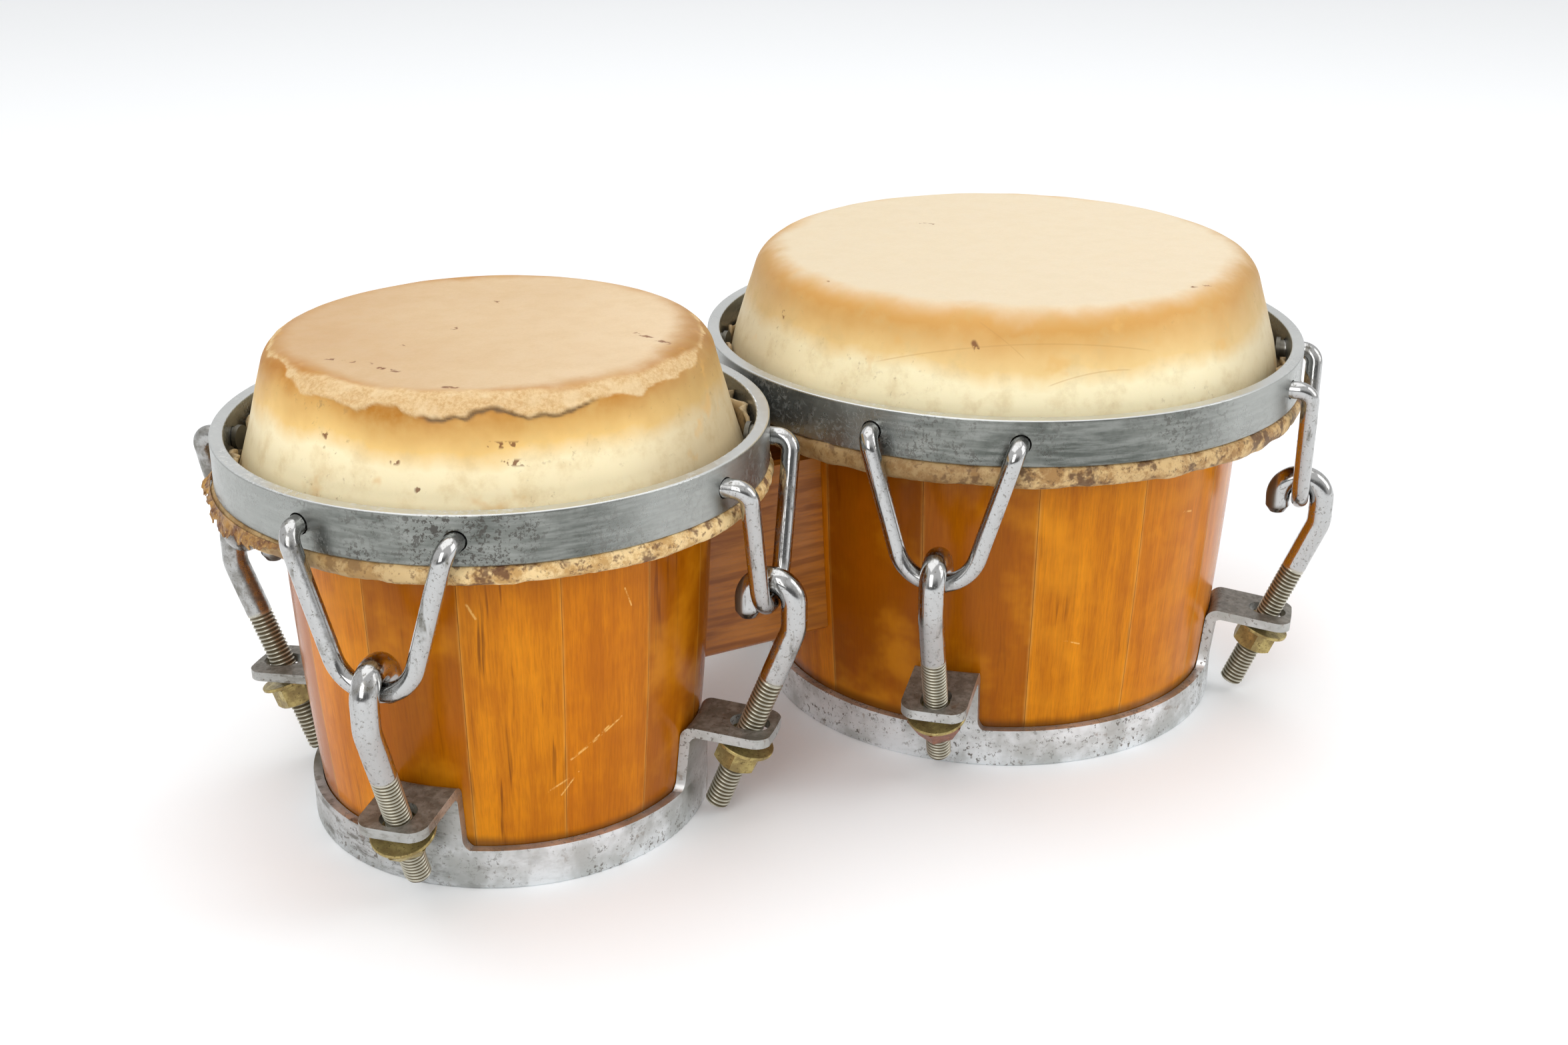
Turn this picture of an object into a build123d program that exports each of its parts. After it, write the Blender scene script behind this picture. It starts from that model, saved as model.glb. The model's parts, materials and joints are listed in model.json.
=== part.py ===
from build123d import *
from math import asin, atan2, cos, degrees, pi, radians, sin, tan
import os

# A pair of bongo drums joined side by side by a wooden bridge block. Millimetres, +Z up.
# The small drum stands on -X and the large drum on +X. The floor is z = 0 and the origin lies
# under the middle of the whole pair.

# ---------------------------------------------------------------- driving dimensions
DRUM_SPACING = 215.3  # between the two drum axes
RIM_THICKNESS = 4.8
RIM_HEIGHT = 17.2
RIM_EDGE_ROUND = 0.7

WIRE_R = 3.3  # V loop wire
BOLT_R = 4.75  # hook bolt rod and thread crest
HOOK_CLEARANCE = 0.3  # between the hook and the V loop it holds
HOOK_TIP_LENGTH = 6.0
HOOK_CLOSE = 4.0  # degrees by which the hook's bend passes a half circle
HOOK_TIP_POINT = 2.6  # length of the bevel that points the hook's tip
HOOK_TIP_R = 2.9  # at the tip's flat end
KNEE_Z = 78.0  # the rod is upright above this height and leans below it
KNEE_R = 13.0
BOLT_END = 0.9  # chamfer on the rod's lower end
THREAD_END_Z = 4.6  # height of the middle of the bolt's lower end
FRONT_THREAD_END_Z = 9.8  # the same on each drum's front lug
NUT_RUNNING_CLEARANCE = 0.06

V_HALF_SPACING = 26.4  # from the middle of a lug to each rim hole
V_STANDOFF = 4.2  # from the rim's outer face to the plane of the V
V_CROOK_R = 15.0  # middle line of the rounded bottom of the V
V_BEND_R = 5.0  # middle line of the two upper bends
V_HEAD_R = 4.3  # peened head inside the rim
V_HEAD_LENGTH = 1.6
V_HEAD_GAP = 0.5
HOLE_CLEARANCE = 0.35
CROOK_Z = 87.6  # height of the wire's middle at the bottom of the V

RING_HEIGHT = 15.0
RING_THICKNESS = 3.4
RING_LIP = 9.0  # inward lip under the shell
RING_LIP_THICKNESS = 2.2
SHELL_GAP = 0.3

EAR_TOP_Z = 40.6
EAR_WIDTH = 24.5
EAR_THICKNESS = 3.6
EAR_CORNER_R = 6.5
EAR_SHOULDER = 7.0  # length of an ear's end over which its corners are cut
EAR_FOOT_R = 6.0  # hollow corner between an ear and the ring's upper edge
EAR_FOOT_CUT = 1.0
EAR_SWEEP = 16.0  # degrees each side, before the ear is cut to its width
EAR_ROOT_Z = 5.0  # an ear's section starts here, inside the ring
EAR_BEND_R = 4.6
EAR_INNER_BEND_R = 2.6
EAR_REACH = 9.6  # beyond the middle of the bolt hole
EAR_SLOT_WIDTH = 11.0
EAR_SLOT_LENGTH = 14.6
EAR_BOLT_INSET = 7.7  # from the plane of the V inwards to the bolt at the ear

WASHER_R = 11.2
WASHER_HOLE_R = 5.3
WASHER_THICKNESS = 1.4
WASHER_EDGE_ROUND = 0.4
NUT_FLATS = 15.0
NUT_HEIGHT = 8.6
NUT_FACE_R = 7.3  # the chamfers start here on both ends
NUT_CHAMFER = 1.0  # height over which a chamfer reaches the corners
CONE_NUT_FLATS = 20.0  # at the seat of the tapered nut on each drum's front lug
CONE_NUT_END_FLATS = 12.6
CONE_NUT_TURN = 30.0  # degrees, so that a corner faces outwards
SEAT_GAP = 0.05  # between faces that bear on each other

STAVES = 14
STAVE_JOINT = 0.06  # width of the glue line
WALL = 10.0  # shell wall
EDGE_FLAT = 1.5  # flat land on top of the shell, inside the rounded bearing edge
SKIN = 1.3  # rawhide thickness
ROLL_WIDTH = 10.1  # rawhide roll round the flesh hoop
ROLL_OVERHANG = 1.0  # beyond the rim's outer face
ROLL_GAP = 0.2  # under the rim
HOOP_CLEARANCE = 0.4
HOOP_ROUND = 0.6
TUCK_HEIGHT = 3.6  # cut edge of the rawhide above the roll

BLOCK_HALF_WIDTH = 17.5
BLOCK_BOTTOM = 42.0
BLOCK_TOP = 116.0
BLOCK_EDGE = 1.5
BLOCK_GAP = 0.15
BRIDGE_BOLT_R = 3.2
BRIDGE_BOLT_Z = (60.0, 98.0)
BRIDGE_HEAD_R = 7.0
BRIDGE_HEAD_HEIGHT = 3.6
BRIDGE_HEAD_DOME = 0.7  # its arc passes this share of the head's height and radius
BRIDGE_WASHER_R = 9.0
BRIDGE_WASHER_THICKNESS = 1.6
BRIDGE_NUT_FLATS = 11.1
BRIDGE_NUT_HEIGHT = 5.5
BRIDGE_BOLT_TAIL = 5.0
SEAT_RELIEF = 0.4

LUG_ANGLES = (45, 135, 225, 315)
FRONT_LUG = 225


class Drum:
    """The dimensions in which the two drums differ."""

    def __init__(self, name, centre_x, rim_r, rim_bottom, head_top, head_corner_r, head_round,
                 wall_at_rim, roll_height, foot_r, belly, top_r, ear_droop, first_seam, cone_nut_height):
        self.name = name
        self.centre = Vector(centre_x, 0, 0)
        self.rim_r = rim_r  # outer radius of the rim
        self.rim_bottom = rim_bottom
        self.rim_top = rim_bottom + RIM_HEIGHT
        self.head_top = head_top
        self.head_corner_r = head_corner_r  # where the flat top and the sloping side would meet
        self.head_round = head_round  # outer radius of the bearing edge
        self.wall_at_rim = wall_at_rim  # outer radius of the skin, level with the top of the rim
        self.foot_r = foot_r  # outer radius of the shell at its foot
        self.belly = belly  # (radius, height) of the shell's outside halfway up
        self.top_r = top_r  # outer radius of the shell at the top
        self.ear_droop = ear_droop  # degrees by which an ear slopes down outwards
        self.first_seam = first_seam  # degrees from +X to the first glue line
        self.cone_nut_height = cone_nut_height
        self.axis = Axis((centre_x, 0, 0), (0, 0, 1))
        self.shell_top = head_top - SKIN - SHELL_GAP
        self.hole_z = rim_bottom + RIM_HEIGHT / 2
        self.v_plane = rim_r + V_STANDOFF
        self.ear_hole = self.v_plane - EAR_BOLT_INSET
        self.roll_r = rim_r + ROLL_OVERHANG
        self.roll_top = rim_bottom - ROLL_GAP
        self.roll_bottom = self.roll_top - roll_height

    def shell_r(self, z):
        """Outer radius of the shell at a height: the arc through foot, belly and top."""
        (r1, z1), (r2, z2), (r3, z3) = (self.foot_r, RING_LIP_THICKNESS), self.belly, self.top_point()
        a = (z - z2) * (z - z3) / ((z1 - z2) * (z1 - z3)) * r1
        b = (z - z1) * (z - z3) / ((z2 - z1) * (z2 - z3)) * r2
        c = (z - z1) * (z - z2) / ((z3 - z1) * (z3 - z2)) * r3
        return a + b + c

    def top_point(self):
        return self.top_r, self.shell_top - self.head_round + SKIN

    def radial_plane(self, angle, offset=0.0):
        """x runs outwards from the drum's axis, y up."""
        out = Vector(cos(radians(angle)), sin(radians(angle)), 0)
        side = Vector(-out.Y, out.X, 0)
        return Plane(origin=self.centre + side * offset, x_dir=out, z_dir=side * -1)

    def facing_plane(self, angle, distance):
        """Faces outwards at a distance from the drum's axis: x runs sideways, y up."""
        out = Vector(cos(radians(angle)), sin(radians(angle)), 0)
        side = Vector(-out.Y, out.X, 0)
        return Plane(origin=self.centre + out * distance, x_dir=side, z_dir=out)

    def point(self, angle, out, side, z):
        """A point in the row frame from a lug's own outward, sideways and upward distances."""
        c, s = cos(radians(angle)), sin(radians(angle))
        return self.centre.X + out * c - side * s, out * s + side * c, z

    def bolt_angle(self):
        """Lean of a hook bolt's lower rod from the vertical, in radians: from the ear's hole to the knee."""
        return atan2(EAR_BOLT_INSET + hook_r(), KNEE_Z - self.ear_mid_z())

    def ear_mid_z(self):
        """Height of the middle of the ear's plate at the bolt hole."""
        drop = (self.ear_hole - self.tab_r()) * tan(radians(self.ear_droop))
        return EAR_TOP_Z - drop - EAR_THICKNESS / 2

    def tab_r(self):
        """Inner radius of the upright part of an ear at its top."""
        return self.shell_r(EAR_TOP_Z) + SHELL_GAP

    def along_bolt(self, distance):
        """A (radius, height) pair on a bolt's middle line, at a distance above the ear's middle."""
        lean = self.bolt_angle()
        return self.ear_hole + distance * sin(lean), self.ear_mid_z() + distance * cos(lean)

    def bolt_plane(self, angle, distance):
        """Square to a bolt, at a distance above the ear's middle, facing up along the bolt."""
        out, z = self.along_bolt(distance)
        lean = self.bolt_angle()
        c, s = cos(radians(angle)), sin(radians(angle))
        up = (sin(lean) * c, sin(lean) * s, cos(lean))
        return Plane(origin=self.point(angle, out, 0, z), x_dir=(-s, c, 0), z_dir=up)

    def washer_top(self):
        """Distance along the bolt from the ear's middle down to the top of the washer."""
        wedge = self.bolt_angle() - radians(self.ear_droop)
        return EAR_THICKNESS / 2 / cos(wedge) + WASHER_R * tan(wedge) + 2 * SEAT_GAP

    def nut_plane(self, angle):
        """Square to a bolt, at the top of its nut."""
        return self.bolt_plane(angle, -self.washer_top() - WASHER_THICKNESS - SEAT_GAP)


def hook_r():
    """Middle line of the hook's bend."""
    return WIRE_R + HOOK_CLEARANCE + BOLT_R


def save(part, name):
    part.label = name
    export_step(part, f"parts/{name}.step")


# ---------------------------------------------------------------- wooden shell
def make_shell(drum, bolt_side):
    """Staves side by side round the drum, with glue lines between them and two bridge bolt holes."""
    step = 360 / STAVES
    gap = degrees(STAVE_JOINT / drum.top_r)
    top_r, shoulder_z = drum.top_point()
    edge_r = drum.shell_top - shoulder_z
    foot_z = RING_LIP_THICKNESS + SEAT_GAP
    belly_r, belly_z = drum.belly
    with BuildPart() as shell:
        for k in range(STAVES):
            with BuildSketch(drum.radial_plane(drum.first_seam + k * step + gap / 2)):
                with BuildLine():
                    outside = ThreePointArc((drum.foot_r, foot_z), drum.belly, (top_r, shoulder_z))
                    edge = CenterArc((top_r - edge_r, shoulder_z), edge_r, 0, 90)
                    flat = Line(edge @ 1, (top_r - edge_r - EDGE_FLAT, drum.shell_top))
                    inside = ThreePointArc(flat @ 1, (belly_r - WALL, belly_z), (drum.foot_r - WALL, foot_z))
                    Line(inside @ 1, outside @ 0)
                make_face()
            revolve(axis=drum.axis, revolution_arc=step - gap)
        with BuildSketch(drum.facing_plane(bolt_side, drum.foot_r - 2 * WALL)):
            with Locations(*[(0, z) for z in BRIDGE_BOLT_Z]):
                Circle(BRIDGE_BOLT_R + HOLE_CLEARANCE)
        extrude(amount=4 * WALL, mode=Mode.SUBTRACT)
    return shell.part


# ---------------------------------------------------------------- skin and its metal hoop
def make_skin(drum):
    """Flat head, sloping side, roll round the flesh hoop and the tucked edge, all one sheet of rawhide."""
    roll_in = drum.roll_r - ROLL_WIDTH
    slope = atan2(drum.wall_at_rim - drum.head_corner_r, drum.head_top - drum.rim_top)
    inner_shift = SKIN / cos(slope)
    under_head = SKIN * tan(slope)
    tuck_in = roll_in + 2 * SKIN
    tuck_top = drum.roll_top + TUCK_HEIGHT
    outline = [
        (0, drum.head_top, 0),
        (drum.head_corner_r, drum.head_top, drum.head_round),
        (drum.wall_at_rim, drum.rim_top, 0),
        (roll_in + SKIN, drum.roll_top + SKIN, 0),
        (roll_in + SKIN, drum.roll_bottom + SKIN, 0),
        (drum.roll_r - SKIN, drum.roll_bottom + SKIN, 0),
        (drum.roll_r - SKIN, drum.roll_top - SKIN, 0),
        (tuck_in, drum.roll_top - SKIN, 0),
        (tuck_in, tuck_top, 0),
        (tuck_in + SKIN, tuck_top, 0),
        (tuck_in + SKIN, drum.roll_top, 0),
        (drum.roll_r, drum.roll_top, SKIN),
        (drum.roll_r, drum.roll_bottom, SKIN),
        (roll_in, drum.roll_bottom, 0),
        (roll_in, drum.roll_top + SKIN, 0),
        (drum.wall_at_rim - inner_shift, drum.rim_top, 0),
        (drum.head_corner_r + under_head - inner_shift, drum.head_top - SKIN, drum.head_round - SKIN),
        (0, drum.head_top - SKIN, 0),
    ]
    with BuildPart() as skin:
        with BuildSketch(drum.radial_plane(0)):
            with BuildLine():
                points = [(r, z) for r, z, _ in outline]
                FilletPolyline(*points, radius=[radius for _, _, radius in outline], close=True)
            make_face()
        revolve(axis=drum.axis)
    return skin.part


def make_flesh_hoop(drum):
    inner = drum.roll_r - ROLL_WIDTH + SKIN + HOOP_CLEARANCE
    outer = drum.roll_r - SKIN - HOOP_CLEARANCE
    height = drum.roll_top - drum.roll_bottom - 2 * SKIN - 2 * HOOP_CLEARANCE
    with BuildPart() as hoop:
        with BuildSketch(drum.radial_plane(0)):
            with Locations(((inner + outer) / 2, (drum.roll_top + drum.roll_bottom) / 2)):
                RectangleRounded(outer - inner, height, HOOP_ROUND)
        revolve(axis=drum.axis)
    return hoop.part


# ---------------------------------------------------------------- metal rim and base ring
def make_rim(drum):
    with BuildPart() as rim:
        with BuildSketch(drum.radial_plane(0)):
            with Locations((drum.rim_r - RIM_THICKNESS / 2, drum.hole_z)):
                RectangleRounded(RIM_THICKNESS, RIM_HEIGHT, RIM_EDGE_ROUND)
        revolve(axis=drum.axis)
        for angle in LUG_ANGLES:
            with BuildSketch(drum.facing_plane(angle, drum.rim_r / 2)):
                with Locations((-V_HALF_SPACING, drum.hole_z), (V_HALF_SPACING, drum.hole_z)):
                    Circle(WIRE_R + HOLE_CLEARANCE)
            extrude(amount=drum.rim_r, mode=Mode.SUBTRACT)
    return rim.part


def make_ear(drum, angle):
    """One ear, made round the drum's axis: an L in section, cut to its outline from the front and above."""
    droop = tan(radians(drum.ear_droop))
    foot_in = drum.shell_r(RING_HEIGHT) + SHELL_GAP
    reach = drum.ear_hole + EAR_REACH
    drop = (reach - drum.tab_r()) * droop
    inner_corner = drum.tab_r() + RING_THICKNESS
    under_corner = EAR_TOP_Z - EAR_THICKNESS - RING_THICKNESS * droop
    half = EAR_WIDTH / 2
    with BuildPart() as ear:
        with BuildSketch(drum.radial_plane(angle - EAR_SWEEP)):
            with BuildLine():
                FilletPolyline(
                    (foot_in, EAR_ROOT_Z),
                    (foot_in, RING_HEIGHT),
                    (drum.tab_r(), EAR_TOP_Z),
                    (reach, EAR_TOP_Z - drop),
                    (reach, EAR_TOP_Z - drop - EAR_THICKNESS),
                    (inner_corner, under_corner),
                    (foot_in + RING_THICKNESS, RING_HEIGHT),
                    (foot_in + RING_THICKNESS, EAR_ROOT_Z),
                    radius=[0, 0, EAR_BEND_R, 0, 0, EAR_INNER_BEND_R, 0, 0],
                    close=True,
                )
            make_face()
        revolve(axis=drum.axis, revolution_arc=2 * EAR_SWEEP)
        with BuildSketch(drum.facing_plane(angle, 0)):
            with BuildLine():
                FilletPolyline(
                    (-half - EAR_FOOT_R, 0),
                    (-half - EAR_FOOT_R, RING_HEIGHT - EAR_FOOT_CUT),
                    (-half, RING_HEIGHT - EAR_FOOT_CUT),
                    (-half, 2 * EAR_TOP_Z),
                    (half, 2 * EAR_TOP_Z),
                    (half, RING_HEIGHT - EAR_FOOT_CUT),
                    (half + EAR_FOOT_R, RING_HEIGHT - EAR_FOOT_CUT),
                    (half + EAR_FOOT_R, 0),
                    radius=[0, 0, EAR_FOOT_R - EAR_FOOT_CUT, 0, 0, EAR_FOOT_R - EAR_FOOT_CUT, 0, 0],
                    close=True,
                )
            make_face()
        extrude(amount=2 * drum.rim_r, mode=Mode.INTERSECT)
        with BuildSketch(Plane(origin=drum.centre, x_dir=drum.radial_plane(angle).x_dir, z_dir=(0, 0, 1))):
            with BuildLine():
                FilletPolyline(
                    (0, -2 * half),
                    (reach - EAR_SHOULDER, -2 * half),
                    (reach - EAR_SHOULDER, -half),
                    (reach, -half),
                    (reach, half),
                    (reach - EAR_SHOULDER, half),
                    (reach - EAR_SHOULDER, 2 * half),
                    (0, 2 * half),
                    radius=[0, 0, 0, EAR_CORNER_R, EAR_CORNER_R, 0, 0, 0],
                    close=True,
                )
            make_face()
        extrude(amount=2 * EAR_TOP_Z, mode=Mode.INTERSECT)
        with BuildSketch(Plane(origin=drum.centre, x_dir=drum.radial_plane(angle).x_dir, z_dir=(0, 0, 1))):
            with Locations((drum.ear_hole, 0)):
                SlotOverall(EAR_SLOT_LENGTH, EAR_SLOT_WIDTH)
        extrude(amount=2 * EAR_TOP_Z, mode=Mode.SUBTRACT)
    return ear.part


def make_base_ring(drum):
    """A band with a lip under the shell, and four ears in one piece with it."""
    inner = drum.shell_r(RING_HEIGHT) + SHELL_GAP
    ears = [make_ear(drum, angle) for angle in LUG_ANGLES]
    with BuildPart() as ring:
        with BuildSketch(drum.radial_plane(0)):
            with BuildLine():
                Polyline(
                    (inner - RING_LIP, 0),
                    (inner + RING_THICKNESS, 0),
                    (inner + RING_THICKNESS, RING_HEIGHT),
                    (inner, RING_HEIGHT),
                    (inner, RING_LIP_THICKNESS),
                    (inner - RING_LIP, RING_LIP_THICKNESS),
                    close=True,
                )
            make_face()
        revolve(axis=drum.axis)
        for ear in ears:
            add(ear)
        low_edges = ring.edges().filter_by(GeomType.CIRCLE).group_by(Axis.Z)[0]
        fillet(low_edges.sort_by(SortBy.RADIUS)[-1], radius=RIM_EDGE_ROUND)
    return ring.part


# ---------------------------------------------------------------- tuning hardware
def make_v_loop(drum, angle):
    """Round wire: in through the rim, down to the crook, back up and in through the rim again."""
    crook_centre_z = CROOK_Z + V_CROOK_R
    across = (V_HALF_SPACING**2 + (drum.hole_z - crook_centre_z) ** 2) ** 0.5
    leg_lean = atan2(V_HALF_SPACING, drum.hole_z - crook_centre_z) - asin(V_CROOK_R / across)
    corner_z = crook_centre_z - V_CROOK_R / sin(leg_lean)
    head_face = ((drum.rim_r - RIM_THICKNESS) ** 2 - (V_HALF_SPACING + V_HEAD_R) ** 2) ** 0.5 - V_HEAD_GAP
    head_end = head_face - V_HEAD_LENGTH
    corners = [
        drum.point(angle, head_end, -V_HALF_SPACING, drum.hole_z),
        drum.point(angle, drum.v_plane, -V_HALF_SPACING, drum.hole_z),
        drum.point(angle, drum.v_plane, 0, corner_z),
        drum.point(angle, drum.v_plane, V_HALF_SPACING, drum.hole_z),
        drum.point(angle, head_end, V_HALF_SPACING, drum.hole_z),
    ]
    with BuildPart() as loop:
        with BuildLine() as path:
            FilletPolyline(*corners, radius=[V_BEND_R, V_CROOK_R, V_BEND_R])
        with BuildSketch(Plane(origin=path.line @ 0, z_dir=path.line % 0)):
            Circle(WIRE_R)
        sweep(path=path.line)
        with BuildSketch(drum.facing_plane(angle, head_end)):
            with Locations((-V_HALF_SPACING, drum.hole_z), (V_HALF_SPACING, drum.hole_z)):
                Circle(V_HEAD_R)
        extrude(amount=V_HEAD_LENGTH)
    return loop.part


def make_hook_bolt(drum, angle):
    """A rod threaded below, leaning up to a knee, then upright, bent over the V loop to a pointed tip."""
    lean = drum.bolt_angle()
    end_z = FRONT_THREAD_END_Z if angle == FRONT_LUG else THREAD_END_Z
    bottom_distance = (end_z - drum.ear_mid_z()) / cos(lean)
    knee = (drum.v_plane + hook_r(), KNEE_Z)
    with BuildPart() as bolt:
        with BuildLine(drum.radial_plane(angle)) as path:
            bend = CenterArc((drum.v_plane, CROOK_Z), hook_r(), 0, 180 + HOOK_CLOSE)
            FilletPolyline(drum.along_bolt(bottom_distance), knee, bend @ 0, radius=KNEE_R)
            tip_way = bend % 1
            Line(bend @ 1, bend @ 1 + tip_way * HOOK_TIP_LENGTH)
        with BuildSketch(drum.bolt_plane(angle, bottom_distance)):
            Circle(BOLT_R)
        sweep(path=path.line)
        tip = flat_ends(bolt)[-1]
        chamfer(tip.edges(), length=BOLT_R - HOOK_TIP_R, length2=HOOK_TIP_POINT, reference=tip)
        chamfer(flat_ends(bolt)[0].edges(), length=BOLT_END)
    return bolt.part


def flat_ends(bolt):
    """The rod's two flat end faces, the lower one first."""
    return bolt.faces().filter_by(GeomType.PLANE).sort_by(Axis.Z)


def make_lug_washers(drum):
    """Flat washers, one under each ear, square to their bolts."""
    with BuildPart() as washers:
        for angle in LUG_ANGLES:
            with BuildSketch(drum.bolt_plane(angle, -drum.washer_top())):
                Circle(WASHER_R)
                Circle(WASHER_HOLE_R, mode=Mode.SUBTRACT)
            extrude(amount=-WASHER_THICKNESS)
        circles = washers.edges().filter_by(GeomType.CIRCLE)
        fillet(circles.filter_by(lambda edge: edge.radius > NUT_FACE_R), radius=WASHER_EDGE_ROUND)
    return washers.part


def make_nut(drum, angle):
    """A hexagon nut, chamfered at both ends."""
    top = drum.nut_plane(angle)
    section = Plane(origin=top.origin, x_dir=top.x_dir, z_dir=top.x_dir.cross(top.z_dir))
    corner_r = NUT_FLATS / 2 / cos(pi / 6)
    with BuildPart() as nut:
        with BuildSketch(top):
            RegularPolygon(NUT_FLATS / 2, 6, major_radius=False)
        extrude(amount=-NUT_HEIGHT)
        with BuildSketch(section):
            with BuildLine():
                Polyline(
                    (BOLT_R + NUT_RUNNING_CLEARANCE, 0),
                    (NUT_FACE_R, 0),
                    (corner_r, -NUT_CHAMFER),
                    (corner_r, -NUT_HEIGHT + NUT_CHAMFER),
                    (NUT_FACE_R, -NUT_HEIGHT),
                    (BOLT_R + NUT_RUNNING_CLEARANCE, -NUT_HEIGHT),
                    close=True,
                )
            make_face()
        revolve(axis=Axis(top.origin, top.z_dir), mode=Mode.INTERSECT)
    return nut.part


def make_cone_nut(drum, angle):
    """A six-sided nut that draws in from a wide seat under the washer towards the thread."""
    top = drum.nut_plane(angle)
    low = top.offset(-drum.cone_nut_height)
    with BuildPart() as nut:
        with BuildSketch(top):
            RegularPolygon(CONE_NUT_FLATS / 2, 6, major_radius=False, rotation=CONE_NUT_TURN)
        with BuildSketch(low):
            RegularPolygon(CONE_NUT_END_FLATS / 2, 6, major_radius=False, rotation=CONE_NUT_TURN)
        loft(ruled=True)
        with BuildSketch(top):
            Circle(BOLT_R + NUT_RUNNING_CLEARANCE)
        extrude(amount=-drum.cone_nut_height, mode=Mode.SUBTRACT)
    return nut.part


# ---------------------------------------------------------------- bridge between the drums
def shell_cutter(drum, gap):
    """The space inside a shell's outer surface, made a little larger."""
    with BuildPart() as cutter:
        with BuildSketch(drum.radial_plane(0)):
            with BuildLine():
                side = ThreePointArc(
                    (drum.foot_r + gap, RING_LIP_THICKNESS),
                    (drum.belly[0] + gap, drum.belly[1]),
                    (drum.top_r + gap, drum.top_point()[1]),
                )
                Polyline(side @ 1, (0, drum.top_point()[1]), (0, RING_LIP_THICKNESS), side @ 0)
            make_face()
        revolve(axis=drum.axis)
    return cutter.part


def make_bridge_block(small, large):
    middle = (small.centre.X + small.rim_r + large.centre.X - large.rim_r) / 2
    cutters = [shell_cutter(small, BLOCK_GAP), shell_cutter(large, BLOCK_GAP)]
    with BuildPart() as block:
        with BuildSketch(Plane.XY.offset(BLOCK_BOTTOM)):
            with Locations((middle, 0)):
                Rectangle(small.rim_r, 2 * BLOCK_HALF_WIDTH)
        extrude(amount=BLOCK_TOP - BLOCK_BOTTOM)
        chamfer(block.edges().filter_by(Axis.X), length=BLOCK_EDGE)
        for cutter in cutters:
            add(cutter, mode=Mode.SUBTRACT)
        with BuildSketch(Plane.YZ.offset(small.centre.X)):
            with Locations(*[(0, z) for z in BRIDGE_BOLT_Z]):
                Circle(BRIDGE_BOLT_R + HOLE_CLEARANCE)
        extrude(amount=DRUM_SPACING, mode=Mode.SUBTRACT)
    return block.part


def washer_faces(small, large, z):
    """The two flat planes, square to X, against which the bridge washers bear inside the shells."""
    def seat(drum):
        wall_r = inside_r(drum, z)
        return (wall_r**2 - BRIDGE_WASHER_R**2) ** 0.5 - SEAT_GAP - SEAT_RELIEF

    return small.centre.X + seat(small), large.centre.X - seat(large)


def inside_r(drum, z):
    """Inner radius of the shell at the height of a bridge bolt, a little less than the arc's own."""
    return drum.shell_r(z) - WALL


def make_bridge_bolts(small, large):
    """Dome-headed bolts: heads inside the small shell, tails inside the large one."""
    with BuildPart() as bolts:
        for z in BRIDGE_BOLT_Z:
            near, far = washer_faces(small, large, z)
            head_face = near - BRIDGE_WASHER_THICKNESS
            tail = far + BRIDGE_WASHER_THICKNESS + BRIDGE_NUT_HEIGHT + BRIDGE_BOLT_TAIL
            with BuildSketch(Plane.YZ.offset(head_face)):
                with Locations((0, z)):
                    Circle(BRIDGE_BOLT_R)
            extrude(amount=tail - head_face)
            dome_x = head_face - BRIDGE_HEAD_DOME * BRIDGE_HEAD_HEIGHT
            dome_z = z + BRIDGE_HEAD_DOME * BRIDGE_HEAD_R
            with BuildSketch(Plane.XZ):
                with BuildLine():
                    dome = ThreePointArc(
                        (head_face - BRIDGE_HEAD_HEIGHT, z),
                        (dome_x, dome_z),
                        (head_face, z + BRIDGE_HEAD_R),
                    )
                    Polyline(dome @ 1, (head_face, z), dome @ 0)
                make_face()
            revolve(axis=Axis((head_face, 0, z), (1, 0, 0)))
    return bolts.part


def make_bridge_washers(small, large):
    with BuildPart() as washers:
        for z in BRIDGE_BOLT_Z:
            near, far = washer_faces(small, large, z)
            for plane_x, way in ((near, -1), (far, 1)):
                with BuildSketch(Plane.YZ.offset(plane_x)):
                    with Locations((0, z)):
                        Circle(BRIDGE_WASHER_R)
                        Circle(BRIDGE_BOLT_R + HOLE_CLEARANCE, mode=Mode.SUBTRACT)
                extrude(amount=way * (BRIDGE_WASHER_THICKNESS - SEAT_GAP))
    return washers.part


def make_bridge_nuts(small, large):
    with BuildPart() as nuts:
        for z in BRIDGE_BOLT_Z:
            far = washer_faces(small, large, z)[1]
            with BuildSketch(Plane.YZ.offset(far + BRIDGE_WASHER_THICKNESS)):
                with Locations((0, z)):
                    RegularPolygon(BRIDGE_NUT_FLATS / 2, 6, major_radius=False)
                    Circle(BRIDGE_BOLT_R + NUT_RUNNING_CLEARANCE, mode=Mode.SUBTRACT)
            extrude(amount=BRIDGE_NUT_HEIGHT)
    return nuts.part


# ---------------------------------------------------------------- the pair
SMALL_RIM_R = 96.0
LARGE_RIM_R = 117.0
HALF_LENGTH = (SMALL_RIM_R + DRUM_SPACING + LARGE_RIM_R) / 2

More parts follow.
